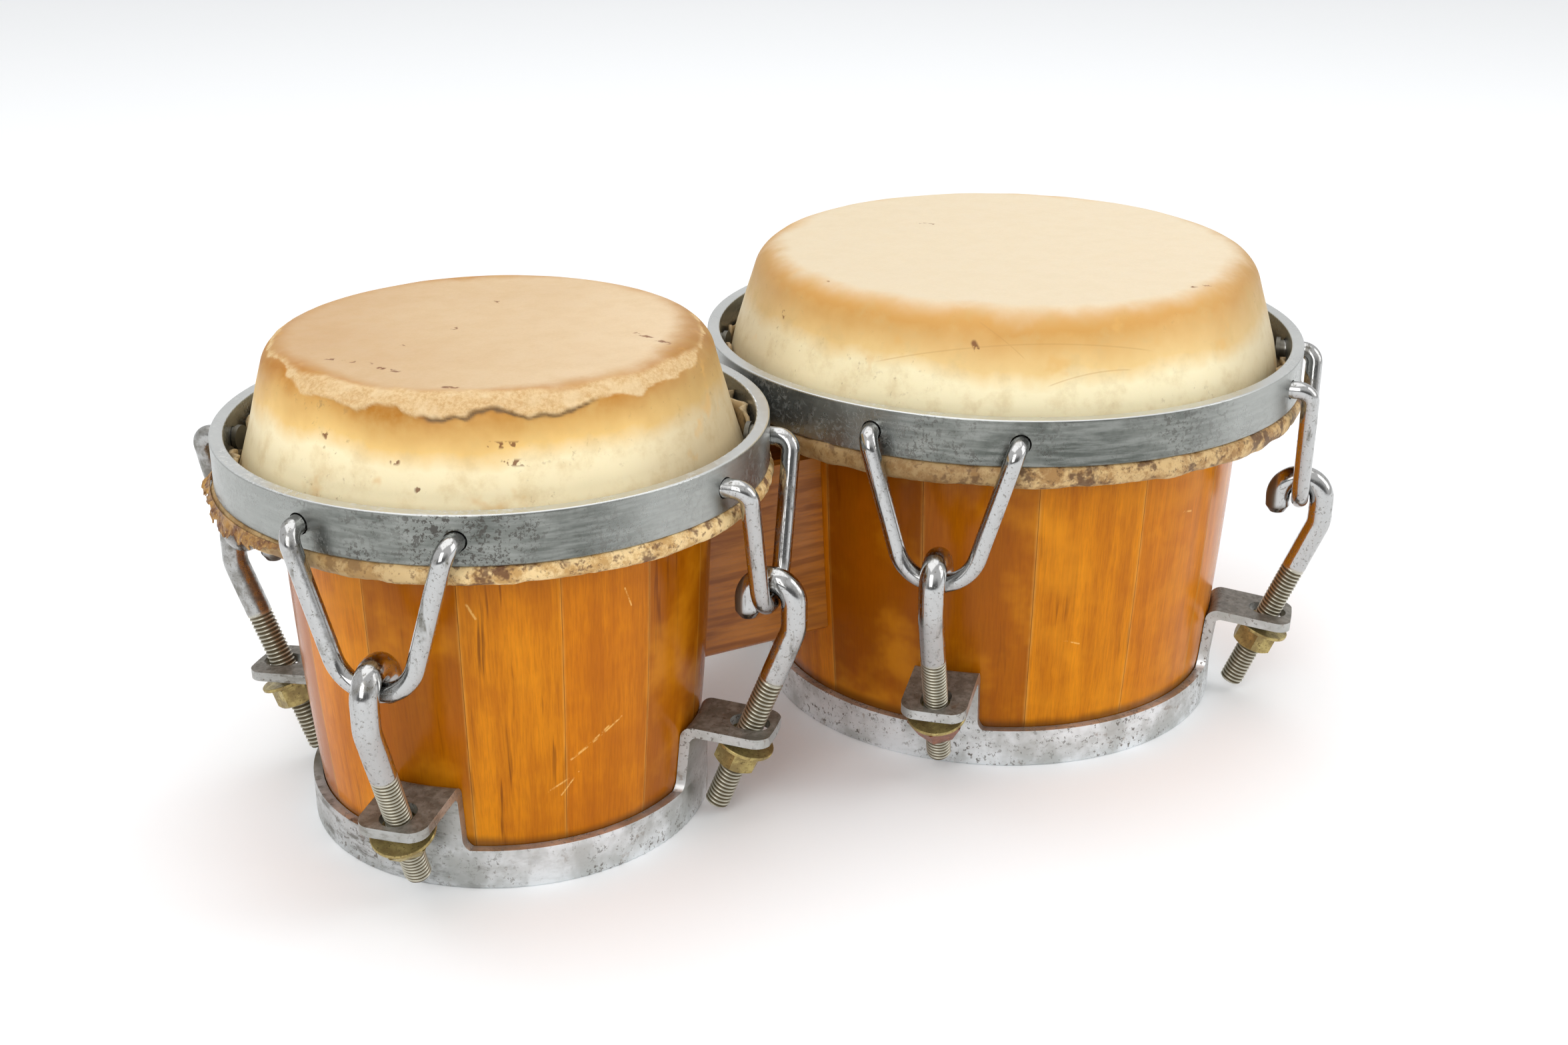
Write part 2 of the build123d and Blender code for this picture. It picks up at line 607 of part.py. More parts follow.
SMALL = Drum(
    name="small",
    centre_x=SMALL_RIM_R - HALF_LENGTH,
    rim_r=SMALL_RIM_R,
    rim_bottom=130.2,
    head_top=177.6,
    head_corner_r=74.9,
    head_round=10.0,
    wall_at_rim=83.1,
    roll_height=6.0,
    foot_r=67.5,
    belly=(73.7, 75.0),
    top_r=75.3,
    ear_droop=4.0,
    first_seam=6.2,
    cone_nut_height=6.5,
)
LARGE = Drum(
    name="large",
    centre_x=HALF_LENGTH - LARGE_RIM_R,
    rim_r=LARGE_RIM_R,
    rim_bottom=131.2,
    head_top=181.0,
    head_corner_r=95.4,
    head_round=12.5,
    wall_at_rim=105.5,
    roll_height=7.4,
    foot_r=87.4,
    belly=(93.0, 75.0),
    top_r=96.4,
    ear_droop=7.0,
    first_seam=12.6,
    cone_nut_height=9.0,
)

os.makedirs("parts", exist_ok=True)
for drum, bolt_side in ((SMALL, 0), (LARGE, 180)):
    save(make_shell(drum, bolt_side), f"{drum.name}_shell")
    save(make_skin(drum), f"{drum.name}_skin")
    save(make_flesh_hoop(drum), f"{drum.name}_flesh_hoop")
    save(make_rim(drum), f"{drum.name}_rim")
    save(make_base_ring(drum), f"{drum.name}_base_ring")
    save(make_lug_washers(drum), f"{drum.name}_lug_washers")
    for number, angle in enumerate(LUG_ANGLES, start=1):
        save(make_v_loop(drum, angle), f"{drum.name}_v_loop_{number}")
        save(make_hook_bolt(drum, angle), f"{drum.name}_hook_bolt_{number}")
        nut = make_cone_nut(drum, angle) if angle == FRONT_LUG else make_nut(drum, angle)
        save(nut, f"{drum.name}_nut_{number}")
save(make_bridge_block(SMALL, LARGE), "bridge_block")
save(make_bridge_bolts(SMALL, LARGE), "bridge_bolts")
save(make_bridge_washers(SMALL, LARGE), "bridge_washers")
save(make_bridge_nuts(SMALL, LARGE), "bridge_nuts")
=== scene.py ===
import itertools
import json
from math import atan2, cos, pi, radians, sin, tan

import bpy
import numpy as np
from mathutils import Matrix, Vector


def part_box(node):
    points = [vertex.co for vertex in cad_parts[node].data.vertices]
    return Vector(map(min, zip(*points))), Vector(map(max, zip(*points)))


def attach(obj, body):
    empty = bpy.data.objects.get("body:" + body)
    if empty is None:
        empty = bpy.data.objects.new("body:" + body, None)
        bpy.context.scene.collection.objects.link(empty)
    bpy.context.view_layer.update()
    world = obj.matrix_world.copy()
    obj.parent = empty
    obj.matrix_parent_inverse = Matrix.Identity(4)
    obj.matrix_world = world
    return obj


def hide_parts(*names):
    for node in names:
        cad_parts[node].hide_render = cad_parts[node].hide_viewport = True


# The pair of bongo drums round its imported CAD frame. Metres, +Z up, floor at z = 0.
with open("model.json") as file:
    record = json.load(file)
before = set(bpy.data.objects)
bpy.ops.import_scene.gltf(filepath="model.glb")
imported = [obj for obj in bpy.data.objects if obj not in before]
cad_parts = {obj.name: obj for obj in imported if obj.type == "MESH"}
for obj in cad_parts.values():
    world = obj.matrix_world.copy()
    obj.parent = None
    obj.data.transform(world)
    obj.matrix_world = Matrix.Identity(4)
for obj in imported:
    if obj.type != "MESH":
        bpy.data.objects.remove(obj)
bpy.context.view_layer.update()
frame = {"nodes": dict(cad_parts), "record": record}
MM = 0.001

# ---------------------------------------------------------------- camera
CAMERA_AZIMUTH = radians(-29.53)
CAMERA_ELEVATION = radians(22.30)
CAMERA_ROLL = radians(0.20)
CAMERA_DISTANCE = 0.7603
CAMERA_TARGET = Vector((-0.0021, 0.0, 0.0827))
LENS_MM = 45.08


def make_camera():
    back = Vector((
        sin(CAMERA_AZIMUTH) * cos(CAMERA_ELEVATION),
        -cos(CAMERA_AZIMUTH) * cos(CAMERA_ELEVATION),
        sin(CAMERA_ELEVATION),
    ))
    right = Vector((cos(CAMERA_AZIMUTH), sin(CAMERA_AZIMUTH), 0.0))
    turned = Matrix.Rotation(CAMERA_ROLL, 3, back)
    right = turned @ right
    up = back.cross(right)
    axes = Matrix((right, up, back)).transposed().to_4x4()
    camera = bpy.data.objects.new("camera", bpy.data.cameras.new("camera"))
    camera.data.lens = LENS_MM
    camera.data.sensor_width = 36.0
    camera.data.clip_start = 0.02
    camera.data.clip_end = 50.0
    camera.matrix_world = Matrix.Translation(CAMERA_TARGET + back * CAMERA_DISTANCE) @ axes
    bpy.context.collection.objects.link(camera)
    bpy.context.scene.camera = camera


make_camera()


# ---------------------------------------------------------------- node helper
class Nodes:
    """Adds and wires the nodes of one material or world in short calls."""

    def __init__(self, owner):
        self.owner = owner
        owner.use_nodes = True
        self.tree = owner.node_tree
        self.tree.nodes.clear()

    def put(self, socket, value):
        if isinstance(value, bpy.types.NodeSocket):
            self.tree.links.new(value, socket)
        elif value is not None:
            socket.default_value = value

    def add(self, kind, inputs=None, **settings):
        node = self.tree.nodes.new("ShaderNode" + kind)
        for key, value in settings.items():
            setattr(node, key, value)
        for key, value in (inputs or {}).items():
            self.put(node.inputs[key], value)
        return node

    def math(self, operation, a, b=None, clamp=False):
        node = self.add("Math", operation=operation, use_clamp=clamp)
        for socket, value in zip(node.inputs, (a, b)):
            self.put(socket, value)
        return node.outputs[0]

    def times(self, a, b):
        return self.math("MULTIPLY", a, b)

    def plus(self, a, b, clamp=False):
        return self.math("ADD", a, b, clamp=clamp)

    def minus(self, a, b):
        return self.math("SUBTRACT", a, b)

    def greater(self, a, b):
        return self.math("MAXIMUM", a, b)

    def object_point(self):
        return self.add("TexCoord").outputs["Object"]

    def split(self, vector):
        return self.add("SeparateXYZ", {"Vector": vector}).outputs

    def join(self, x=0.0, y=0.0, z=0.0):
        return self.add("CombineXYZ", {"X": x, "Y": y, "Z": z}).outputs[0]

    def stretch(self, vector, scale):
        return self.add("Mapping", {"Vector": vector, "Scale": scale}).outputs[0]

    def vector(self, operation, a, b=None, scale=None):
        node = self.add("VectorMath", operation=operation)
        self.put(node.inputs[0], a)
        self.put(node.inputs[1], b)
        if scale is not None:
            self.put(node.inputs["Scale"], scale)
        return node.outputs["Value" if operation in ("DOT_PRODUCT", "DISTANCE") else "Vector"]

    def stroke(self, point, start, end, width):
        """1 near the line from start to end, and 0 away from it. point is a flat (u, v) vector."""
        way = Vector((end[0] - start[0], end[1] - start[1], 0.0))
        offset = self.vector("SUBTRACT", point, (start[0], start[1], 0.0))
        along = self.vector("DOT_PRODUCT", offset, tuple(way))
        share = self.math("DIVIDE", along, way.length_squared, clamp=True)
        nearest = self.vector("SCALE", tuple(way), scale=share)
        return self.steps(self.vector("DISTANCE", offset, nearest), width, 0.3 * width)

    def noise(self, vector, scale, detail=3.0, roughness=0.55, distortion=0.0):
        settings = {"Vector": vector, "Scale": scale, "Detail": detail, "Roughness": roughness,
                    "Distortion": distortion}
        return self.add("TexNoise", settings).outputs[0]

    def cells(self, vector, scale):
        """Distance to the nearest of a scatter of points."""
        return self.add("TexVoronoi", {"Vector": vector, "Scale": scale}).outputs["Distance"]

    def steps(self, value, low, high, out_low=0.0, out_high=1.0):
        """A smooth step of value from low to high."""
        node = self.add("MapRange", interpolation_type="SMOOTHSTEP")
        for socket, item in zip(node.inputs, (value, low, high, out_low, out_high)):
            self.put(socket, item)
        return node.outputs[0]

    def ramp(self, value, stops, mode="LINEAR"):
        """stops: (position, colour) pairs, a colour being (r, g, b)."""
        node = self.add("ValToRGB", {"Fac": value})
        node.color_ramp.interpolation = mode
        elements = node.color_ramp.elements
        while len(elements) < len(stops):
            elements.new(0.5)
        for element, (position, colour) in zip(elements, stops):
            element.position = position
            element.color = (*colour, 1.0)
        return node.outputs[0]

    def mix(self, amount, a, b):
        node = self.add("Mix", data_type="RGBA", clamp_factor=True)
        self.put(node.inputs[0], amount)
        for socket, value in ((node.inputs[6], a), (node.inputs[7], b)):
            self.put(socket, value if isinstance(value, bpy.types.NodeSocket) else (*value, 1.0))
        return node.outputs[2]

    def blend_values(self, amount, a, b):
        node = self.add("Mix", data_type="FLOAT", clamp_factor=True)
        for socket, value in zip((node.inputs[0], node.inputs[2], node.inputs[3]), (amount, a, b)):
            self.put(socket, value)
        return node.outputs[0]

    def attribute(self, name):
        return self.add("Attribute", attribute_name=name).outputs["Fac"]

    def bump(self, height, distance, strength):
        inputs = {"Height": height, "Distance": distance, "Strength": strength}
        return self.add("Bump", inputs).outputs[0]

    def surface(self, **inputs):
        """The Principled shader and the output. Underscores in the names stand for spaces."""
        shader = self.add("BsdfPrincipled")
        for key, value in inputs.items():
            socket = shader.inputs[key.replace("_", " ")]
            self.put(socket, (*value, 1.0) if socket.type == "RGBA" and isinstance(value, tuple) else value)
        self.tree.links.new(shader.outputs[0], self.add("OutputMaterial").inputs[0])
        return self.owner


def new_material(name):
    return Nodes(bpy.data.materials.new(name))


# ---------------------------------------------------------------- studio
def make_world():
    """Soft white surroundings with a dim patch low down on the viewer's side."""
    world = bpy.data.worlds.new("studio")
    bpy.context.scene.world = world
    n = Nodes(world)
    x, y, z = n.split(n.add("TexCoord").outputs["Generated"])
    toward = n.plus(n.times(x, sin(CAMERA_AZIMUTH)), n.times(y, -cos(CAMERA_AZIMUTH)))
    in_front = n.steps(toward, 0.50, 0.85)
    low = n.steps(z, 0.62, 0.20)
    dim = n.times(in_front, low)
    sky = n.steps(z, 0.0, 0.5, 0.70, 0.80)
    strength = n.times(sky, n.minus(1.0, n.times(dim, 0.8)))
    background = n.add("Background", {"Color": (1.0, 1.0, 1.0, 1.0), "Strength": strength})
    n.tree.links.new(background.outputs[0], n.add("OutputWorld").inputs[0])


def make_light(name, place, target, size, power):
    data = bpy.data.lights.new(name, "AREA")
    data.shape = "RECTANGLE"
    data.size, data.size_y = size
    data.energy = power
    light = bpy.data.objects.new(name, data)
    light.location = place
    light.rotation_euler = (Vector(target) - Vector(place)).to_track_quat("-Z", "Y").to_euler()
    bpy.context.collection.objects.link(light)


def make_floor():
    half = 8.0
    mesh = bpy.data.meshes.new("floor")
    corners = [(-half, -half, 0), (half, -half, 0), (half, half, 0), (-half, half, 0)]
    mesh.from_pydata(corners, [], [(0, 1, 2, 3)])
    floor = bpy.data.objects.new("floor", mesh)
    bpy.context.collection.objects.link(floor)
    n = new_material("floor_paper")
    grain = n.noise(n.object_point(), 900.0)
    mesh.materials.append(n.surface(
        Base_Color=(0.97, 0.985, 1.0),
        Roughness=0.7,
        Specular_IOR_Level=0.2,
        Normal=n.bump(grain, 0.0001, 0.2),
    ))


bpy.context.scene.view_settings.view_transform = "Standard"
make_world()
make_light("left_softbox", (-1.35, -1.35, 1.1), (0, 0, 0.1), (1.0, 1.4), 15.0)
make_light("right_softbox", (1.45, -1.0, 1.0), (0, 0, 0.1), (0.9, 1.4), 7.0)
make_light("top_softbox", (0.0, 0.3, 1.9), (0, 0, 0.0), (2.4, 2.0), 16.0)
make_floor()


# ---------------------------------------------------------------- the drums, as the frame gives them
LUG_ANGLES = {1: 45, 2: 135, 3: 225, 4: 315}
SKIN = 1.3 * MM
RIM_THICKNESS = 4.8 * MM
V_STANDOFF = 4.2 * MM  # from the rim's outer face to the plane of the V loops
V_HALF_SPACING = 26.4 * MM
WIRE_R = 3.3 * MM
HOOK_R = 8.35 * MM
BOLT_R = 4.75 * MM
BOLT_END = 0.9 * MM  # chamfer on the lower end
KNEE_Z = 78.0 * MM
KNEE_R = 13.0 * MM
ROLL_WIDTH = 10.1 * MM
ROLL_GAP = 0.2 * MM  # under the rim
TUCK_LENGTH = 3.0 * MM  # of the rawhide's middle line that stands up inside the rim
MARK_WIDTH = 1.5 * MM


class Drum:
    """One drum's measurements in metres: some are given here in mm, the rest come from the frame's boxes."""

    def __init__(self, name, first_seam, corner_r, corner_round, wall_at_rim):
        self.name = name
        self.first_seam = radians(first_seam)
        self.corner_r = corner_r * MM
        self.corner_round = corner_round * MM
        self.wall_at_rim = wall_at_rim * MM
        low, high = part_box(name + "_skin")
        self.x = (low[0] + high[0]) / 2
        self.roll_r = (high[0] - low[0]) / 2
        self.roll_in = self.roll_r - ROLL_WIDTH
        self.roll_bottom, self.head_top = low[2], high[2]
        low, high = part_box(name + "_rim")
        self.rim_r = (high[0] - low[0]) / 2
        self.rim_bottom, self.rim_top = low[2], high[2]
        self.roll_top = self.rim_bottom - ROLL_GAP
        self.v_plane = self.rim_r + V_STANDOFF

    def point(self, angle, out, z, side=0.0):
        c, s = np.cos(angle), np.sin(angle)
        level = z + 0 * (out + side + angle)
        return np.stack([self.x + out * c - side * s, out * s + side * c, level], axis=-1)

    def unrolled(self, place, radius):
        """(arc length from the first seam, height) of a place given as (degrees, mm above the floor)."""
        degrees, high = place
        return (radians(degrees) - self.first_seam) % (2 * pi) * radius, high * MM

    def wall_r(self, z):
        """Outer radius of the sloping skin between the roll and the head's corner."""
        share = (self.rim_top - z) / (self.rim_top - self.roll_top - SKIN)
        return self.wall_at_rim + share * (self.roll_in + SKIN - self.wall_at_rim)


SMALL = Drum("small", 6.2, 74.9, 10.0, 83.1)
LARGE = Drum("large", 12.6, 95.4, 12.5, 105.5)
JOINTS = {joint["name"]: joint for joint in frame["record"]["behaviour"]["joints"]}


# ---------------------------------------------------------------- mesh helpers
# Large odd multipliers that scatter a cell's place into a number, the same in each run.
HASH_X = 73856093
HASH_Y = 19349663
HASH_Z = 83492791
HASH_SEED = 65537
HASH_MIX = 1274126177


def lumps(points, size, seed, octaves=1):
    """Smooth noise from about -1 to 1 at an array of points, with lumps of the given size."""
    total = 0.0
    for octave in range(octaves):
        scaled = np.asarray(points) / size * 2**octave + 1000.0
        cell = np.floor(scaled).astype(np.int64)
        share = scaled - cell
        share = share * share * (3 - 2 * share)
        value = 0.0
        for corner in itertools.product((0, 1), repeat=3):
            at = cell + np.array(corner)
            mixed = at[..., 0] * HASH_X ^ at[..., 1] * HASH_Y ^ at[..., 2] * HASH_Z
            mixed = mixed ^ (seed + octave) * HASH_SEED
            mixed = (mixed ^ mixed >> 13) * HASH_MIX & 0x7FFFFFFF
            weight = np.prod(np.where(corner, share, 1 - share), axis=-1)
            value = value + weight * ((mixed ^ mixed >> 15) % 65536 / 32767.5 - 1)
        total = total + value / 2**octave
    return total


def smooth(value, low, high):
    share = np.clip((value - low) / (high - low), 0, 1)
    return share * share * (3 - 2 * share)


def rounded(points, radii, spacing):
    """Points at about even spacing on a line through (r, z) points whose inner corners are rounded."""
    points = [np.array(p, float) for p in points]
    dense = [points[0]]
    for before, corner, after, radius in zip(points, points[1:], points[2:], radii):
        away, onward = before - corner, after - corner
        away /= np.linalg.norm(away)
        onward /= np.linalg.norm(onward)
        half = np.arccos(np.clip(away @ onward, -1, 1)) / 2
        middle = corner + (away + onward) / np.linalg.norm(away + onward) * radius / sin(half)
        first = corner + away * radius / tan(half) - middle
        last = corner + onward * radius / tan(half) - middle
        for k in range(25):
            arm = first * (1 - k / 24) + last * k / 24
            dense.append(middle + arm / np.linalg.norm(arm) * radius)
    dense.append(points[-1])
    return even(np.array(dense), spacing)


def lengths_along(line):
    return np.concatenate([[0], np.cumsum(np.linalg.norm(np.diff(line, axis=0), axis=1))])


def even(line, spacing):
    """The line sampled at even spacing, or at the given array of lengths along it."""
    along = lengths_along(line)
    at = spacing if np.ndim(spacing) else np.linspace(0, along[-1], int(along[-1] / spacing) + 2)
    return np.stack([np.interp(at, along, line[:, k]) for k in range(line.shape[1])], axis=1)


def normals_of(line):
    """Unit normals to the left of a line of (r, z) points."""
    way = np.gradient(line, axis=0)
    way /= np.linalg.norm(way, axis=1)[:, None]
    return np.stack([-way[:, 1], way[:, 0]], axis=1)


def grid_object(name, rows, marks=None):
    """A piece from rows of points. Each row closes on itself, and a point closes the first and last row."""
    count, around = rows.shape[:2]
    points = rows.reshape(-1, 3)
    i = np.arange(count - 1)[:, None] * around
    j = np.arange(around)[None, :]
    k = (j + 1) % around
    quads = np.stack([i + j, i + k, i + around + k, i + around + j], axis=-1).reshape(-1, 4)
    faces = quads.tolist()
    first, last = len(points), len(points) + 1
    end = (count - 1) * around
    faces += [(first, (p + 1) % around, p) for p in range(around)]
    faces += [(last, end + p, end + (p + 1) % around) for p in range(around)]
    points = np.concatenate([points, [rows[0].mean(axis=0), rows[-1].mean(axis=0)]])
    mesh = bpy.data.meshes.new(name)
    mesh.from_pydata(points.tolist(), [], faces)
    for mark, values in (marks or {}).items():
        flat = np.asarray(values, float).reshape(-1)
        flat = np.concatenate([flat, [values[0].mean(), values[-1].mean()]])
        mesh.attributes.new(mark, "FLOAT", "POINT").data.foreach_set("value", flat)
    mesh.shade_smooth()
    mesh.validate()
    piece = bpy.data.objects.new(name, mesh)
    bpy.context.collection.objects.link(piece)
    return piece


# ---------------------------------------------------------------- heads
def tuck_height(drum, angle):
    """How far the rawhide's crumpled edge stands above the roll: low beside the V loops' ends."""
    circle = np.stack([np.cos(angle), np.sin(angle), 0 * angle], axis=-1) * drum.rim_r
    height = 10.5 * MM + 3.6 * MM * lumps(circle, 22 * MM, 5, 2)
    beside = np.arcsin(V_HALF_SPACING / (drum.rim_r - RIM_THICKNESS))
    for lug in LUG_ANGLES.values():
        for side in (-1, 1):
            off = np.abs((angle - radians(lug) - side * beside + pi) % (2 * pi) - pi) * drum.rim_r
            height = 3.2 * MM + (height - 3.2 * MM) * smooth(off, 7 * MM, 13 * MM)
    return np.clip(height, 3.0 * MM, 14.5 * MM)


def skin_line(drum):
    """The middle of the rawhide from the head's centre down the side, round the flesh hoop to its edge."""
    half = SKIN / 2
    tuck_r = drum.rim_r - RIM_THICKNESS - 1.6 * MM
    corners = [
        (0, drum.head_top - half),
        (drum.corner_r - half, drum.head_top - half),
        (drum.wall_at_rim - half, drum.rim_top),
        (drum.roll_in + half, drum.roll_top + SKIN),
        (drum.roll_in + half, drum.roll_bottom + half),
        (drum.roll_r - half, drum.roll_bottom + half),
        (drum.roll_r - half, drum.roll_top - half),
        (tuck_r, drum.roll_top - half),
        (tuck_r, drum.roll_top + TUCK_LENGTH),
    ]
    radii = [drum.corner_round - half, 20 * MM, 3 * MM, 1.6 * MM, 2.4 * MM, 1.9 * MM, 0.8 * MM]
    return rounded(corners, radii, 0.1 * MM)


def make_head(drum, around, fine, tear=None):
    """One sheet of rawhide with its thickness. tear(angle) gives the torn band's width and where it starts."""
    line = skin_line(drum)
    along = lengths_along(line)
    edge = along[np.argmax(line[:, 1] < drum.head_top - 0.7 * MM)]  # where the top starts to turn down
    sparse = np.linspace(0.5 * MM, edge - 12 * MM, 40)
    at = np.concatenate([sparse, np.arange(edge - 12 * MM + fine, along[-1], fine), [along[-1]]])
    middle = even(line, at)
    way = normals_of(middle)
    angle = np.linspace(0, 2 * pi, around, endpoint=False)[None, :]
    in_tuck = smooth(at, along[-1] - TUCK_LENGTH, along[-1] - 2.6 * MM)[:, None]
    share_up = np.clip((at - along[-1] + TUCK_LENGTH) / TUCK_LENGTH, 0, 1)[:, None]
    on_roll = smooth(-middle[:, 1], -drum.roll_top - 2 * MM, -drum.roll_top + 0.5 * MM)[:, None]
    on_roll = np.maximum(on_roll, in_tuck)

    def surface(side):
        """Rows of (out, z) on one face of the sheet. Side 1 is the outer face of the head and of its side wall.
        Round the flesh hoop the sheet turns over, so on the roll side -1 is the outer face."""
        out = (middle[:, 0] + side * way[:, 0] * SKIN / 2)[:, None] + 0 * angle
        z = (middle[:, 1] + side * way[:, 1] * SKIN / 2)[:, None] + 0 * angle
        place = drum.point(angle, middle[:, 0][:, None] + 0 * angle, middle[:, 1][:, None] + 0 * angle)
        push = 0.22 * MM * lumps(place, 34 * MM, 1) + 0.10 * MM * lumps(place, 9 * MM, 2)
        push = push * smooth(at, 2 * MM, 30 * MM)[:, None] * (1 - on_roll)
        # On the roll the normals point at the flesh hoop, so this push swells it, up to 0.9 mm into the rim.
        rolled = 0.55 * MM * lumps(place, 9 * MM, 3, 4) - 0.36 * MM
        push = push + rolled * on_roll * (1 - in_tuck)
        out = out + push * way[:, 0][:, None]
        z = z + push * way[:, 1][:, None]
        height = tuck_height(drum, angle)
        level = drum.roll_top + share_up * height
        room_in = drum.wall_r(level) + SKIN / 2 + 0.5 * MM
        room_out = drum.rim_r - RIM_THICKNESS - SKIN / 2 - 0.4 * MM
        circle = drum.point(angle + 0 * out, drum.rim_r + 0 * out, level)
        wave = np.clip(1.3 * lumps(circle, 7 * MM, 9, 2), -1, 1) * share_up
        crumpled = (room_in + room_out) / 2 + wave * (room_out - room_in) / 2
        start = middle[:, 0][:, None]
        settled = start + (crumpled - start) * smooth(share_up, 0.0, 0.45)
        out = out * (1 - in_tuck) + (settled + side * way[:, 0][:, None] * SKIN / 2) * in_tuck
        z = z * (1 - in_tuck) + (level + side * way[:, 1][:, None] * SKIN / 2) * in_tuck
        return out, z

    out, z = surface(1)
    under_out, under_z = surface(-1)
    beyond = (at - edge)[:, None] + 0 * angle
    torn = 0 * out
    crease = 0 * out
    if tear is not None:
        width, start = tear(angle)
        place = drum.point(angle + 0 * out, out, z)
        ragged = 1.9 * MM * lumps(place, 9 * MM, 21, 4)
        upper = beyond - start + ragged * 0.8
        lower = beyond - start - width - ragged
        torn = smooth(upper, -1.3 * MM, 1.3 * MM) * (1 - smooth(lower, -0.35 * MM, 0.35 * MM))
        torn = torn * (1 - on_roll)
        crease = np.exp(-((lower - 0.3 * MM) / (0.55 * MM)) ** 2) * smooth(width, 5 * MM, 8 * MM)
        crease = crease * (1 - on_roll) * smooth(lumps(place, 17 * MM, 31), -0.15, 0.35)
        fuzz = 0.10 * lumps(place, 1.3 * MM, 41, 2) + 0.30 * lumps(place, 5 * MM, 43, 2)
        lip = smooth(lower, -2.6 * MM, -0.6 * MM) * smooth(width, 4 * MM, 8 * MM)
        push = torn * (fuzz - 0.15 + 0.95 * lip) * MM - crease * 0.5 * MM
        out = out + push * way[:, 0][:, None]
        z = z + push * way[:, 1][:, None]
    rows = np.concatenate([drum.point(angle, out, z), drum.point(angle, under_out, under_z)[::-1]])
    zero = 0 * out
    marks = {
        "torn": np.concatenate([torn, zero]),
        "crease": np.concatenate([crease, zero]),
        "beyond": np.concatenate([beyond, beyond[::-1]]) * 1000,
        "rolled": np.concatenate([on_roll + zero, (on_roll + zero)[::-1]]),
        "under": np.concatenate([zero, zero + 1]),
        "tucked": np.concatenate([in_tuck + zero, (in_tuck + zero)[::-1]]),
    }
    head = grid_object(drum.name + "_head", rows, marks)
    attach(head, "root")
    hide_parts(drum.name + "_skin")
    return head


def small_tear(angle):
    """Width of the torn band on the small head's edge, and where it starts beyond the start of the edge."""
    front = np.abs((angle - radians(240) + pi) % (2 * pi) - pi)
    broad = np.exp(-((front / radians(42)) ** 2))
    seen = 1 - smooth(front, radians(85), radians(120))
    side = np.stack([np.cos(angle), np.sin(angle), 0 * angle], axis=-1) * 80 * MM
    width = (2.6 * MM + 7.4 * MM * broad) * (0.25 + 0.75 * seen) + 1.6 * MM * lumps(side, 16 * MM, 51, 2)
    start = 1.4 * MM + 1.2 * MM * lumps(side, 20 * MM, 61, 2) - 2.2 * MM * broad
    return np.maximum(width, 0.6 * MM), start + 2.5 * MM * (1 - broad)


def make_fringe(drum, start, end):
    """Frayed rawhide hanging off the outside of the small drum's roll, as a thin ragged strip."""
    around, across = 420, 26
    angle = np.linspace(radians(start), radians(end), around)[None, :]
    share = np.linspace(0, 1, across)[:, None]
    circle = np.stack([np.cos(angle), np.sin(angle), 0 * angle], axis=-1) * drum.roll_r
    fade_in = smooth(angle, radians(start), radians(start + 4))
    fade = fade_in * (1 - smooth(angle, radians(end - 12), radians(end)))
    reach = 4.2 + 2.6 * lumps(circle, 12 * MM, 71, 2)
    reach = reach + 1.6 * lumps(circle, 3.1 * MM, 73, 3)
    reach = (reach + 1.1 * lumps(circle, 1.2 * MM, 77, 2)) * MM
    reach = np.clip(reach, 1.2 * MM, 8 * MM) * (0.15 + 0.85 * fade)
    top = drum.roll_top - 0.2 * MM
    hang = share * reach
    z = top - hang
    place = drum.point(angle + 0 * share, drum.roll_r + 0 * z, z)
    clump = np.exp(-(((angle - radians(start + 6)) / radians(3.5)) ** 2))
    waving = (0.9 * lumps(place, 4 * MM, 75, 3) + 0.6) * MM * fade * smooth(share, 0, 0.5)
    stand = (0.5 + 1.0 * share**1.5) * MM + waving
    stand = stand + clump * (1.5 + 1.5 * lumps(place, 3 * MM, 79, 2)) * share * MM
    out = drum.roll_r + stand - 0.5 * MM * (1 - fade)
    sheet = 0.35 * MM
    outside, inside = drum.point(angle, out, z), drum.point(angle, out - sheet, z)
    ring = np.concatenate([outside, inside[::-1]]).transpose(1, 0, 2)
    shreds = grid_object(drum.name + "_torn_fringe", ring)
    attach(shreds, "root")
    return shreds


# ---------------------------------------------------------------- hook bolts
THREAD_PITCH = 1.5875 * MM
THREAD_DEPTH = 0.72 * MM
THREAD_TOP_Z = 59.0 * MM


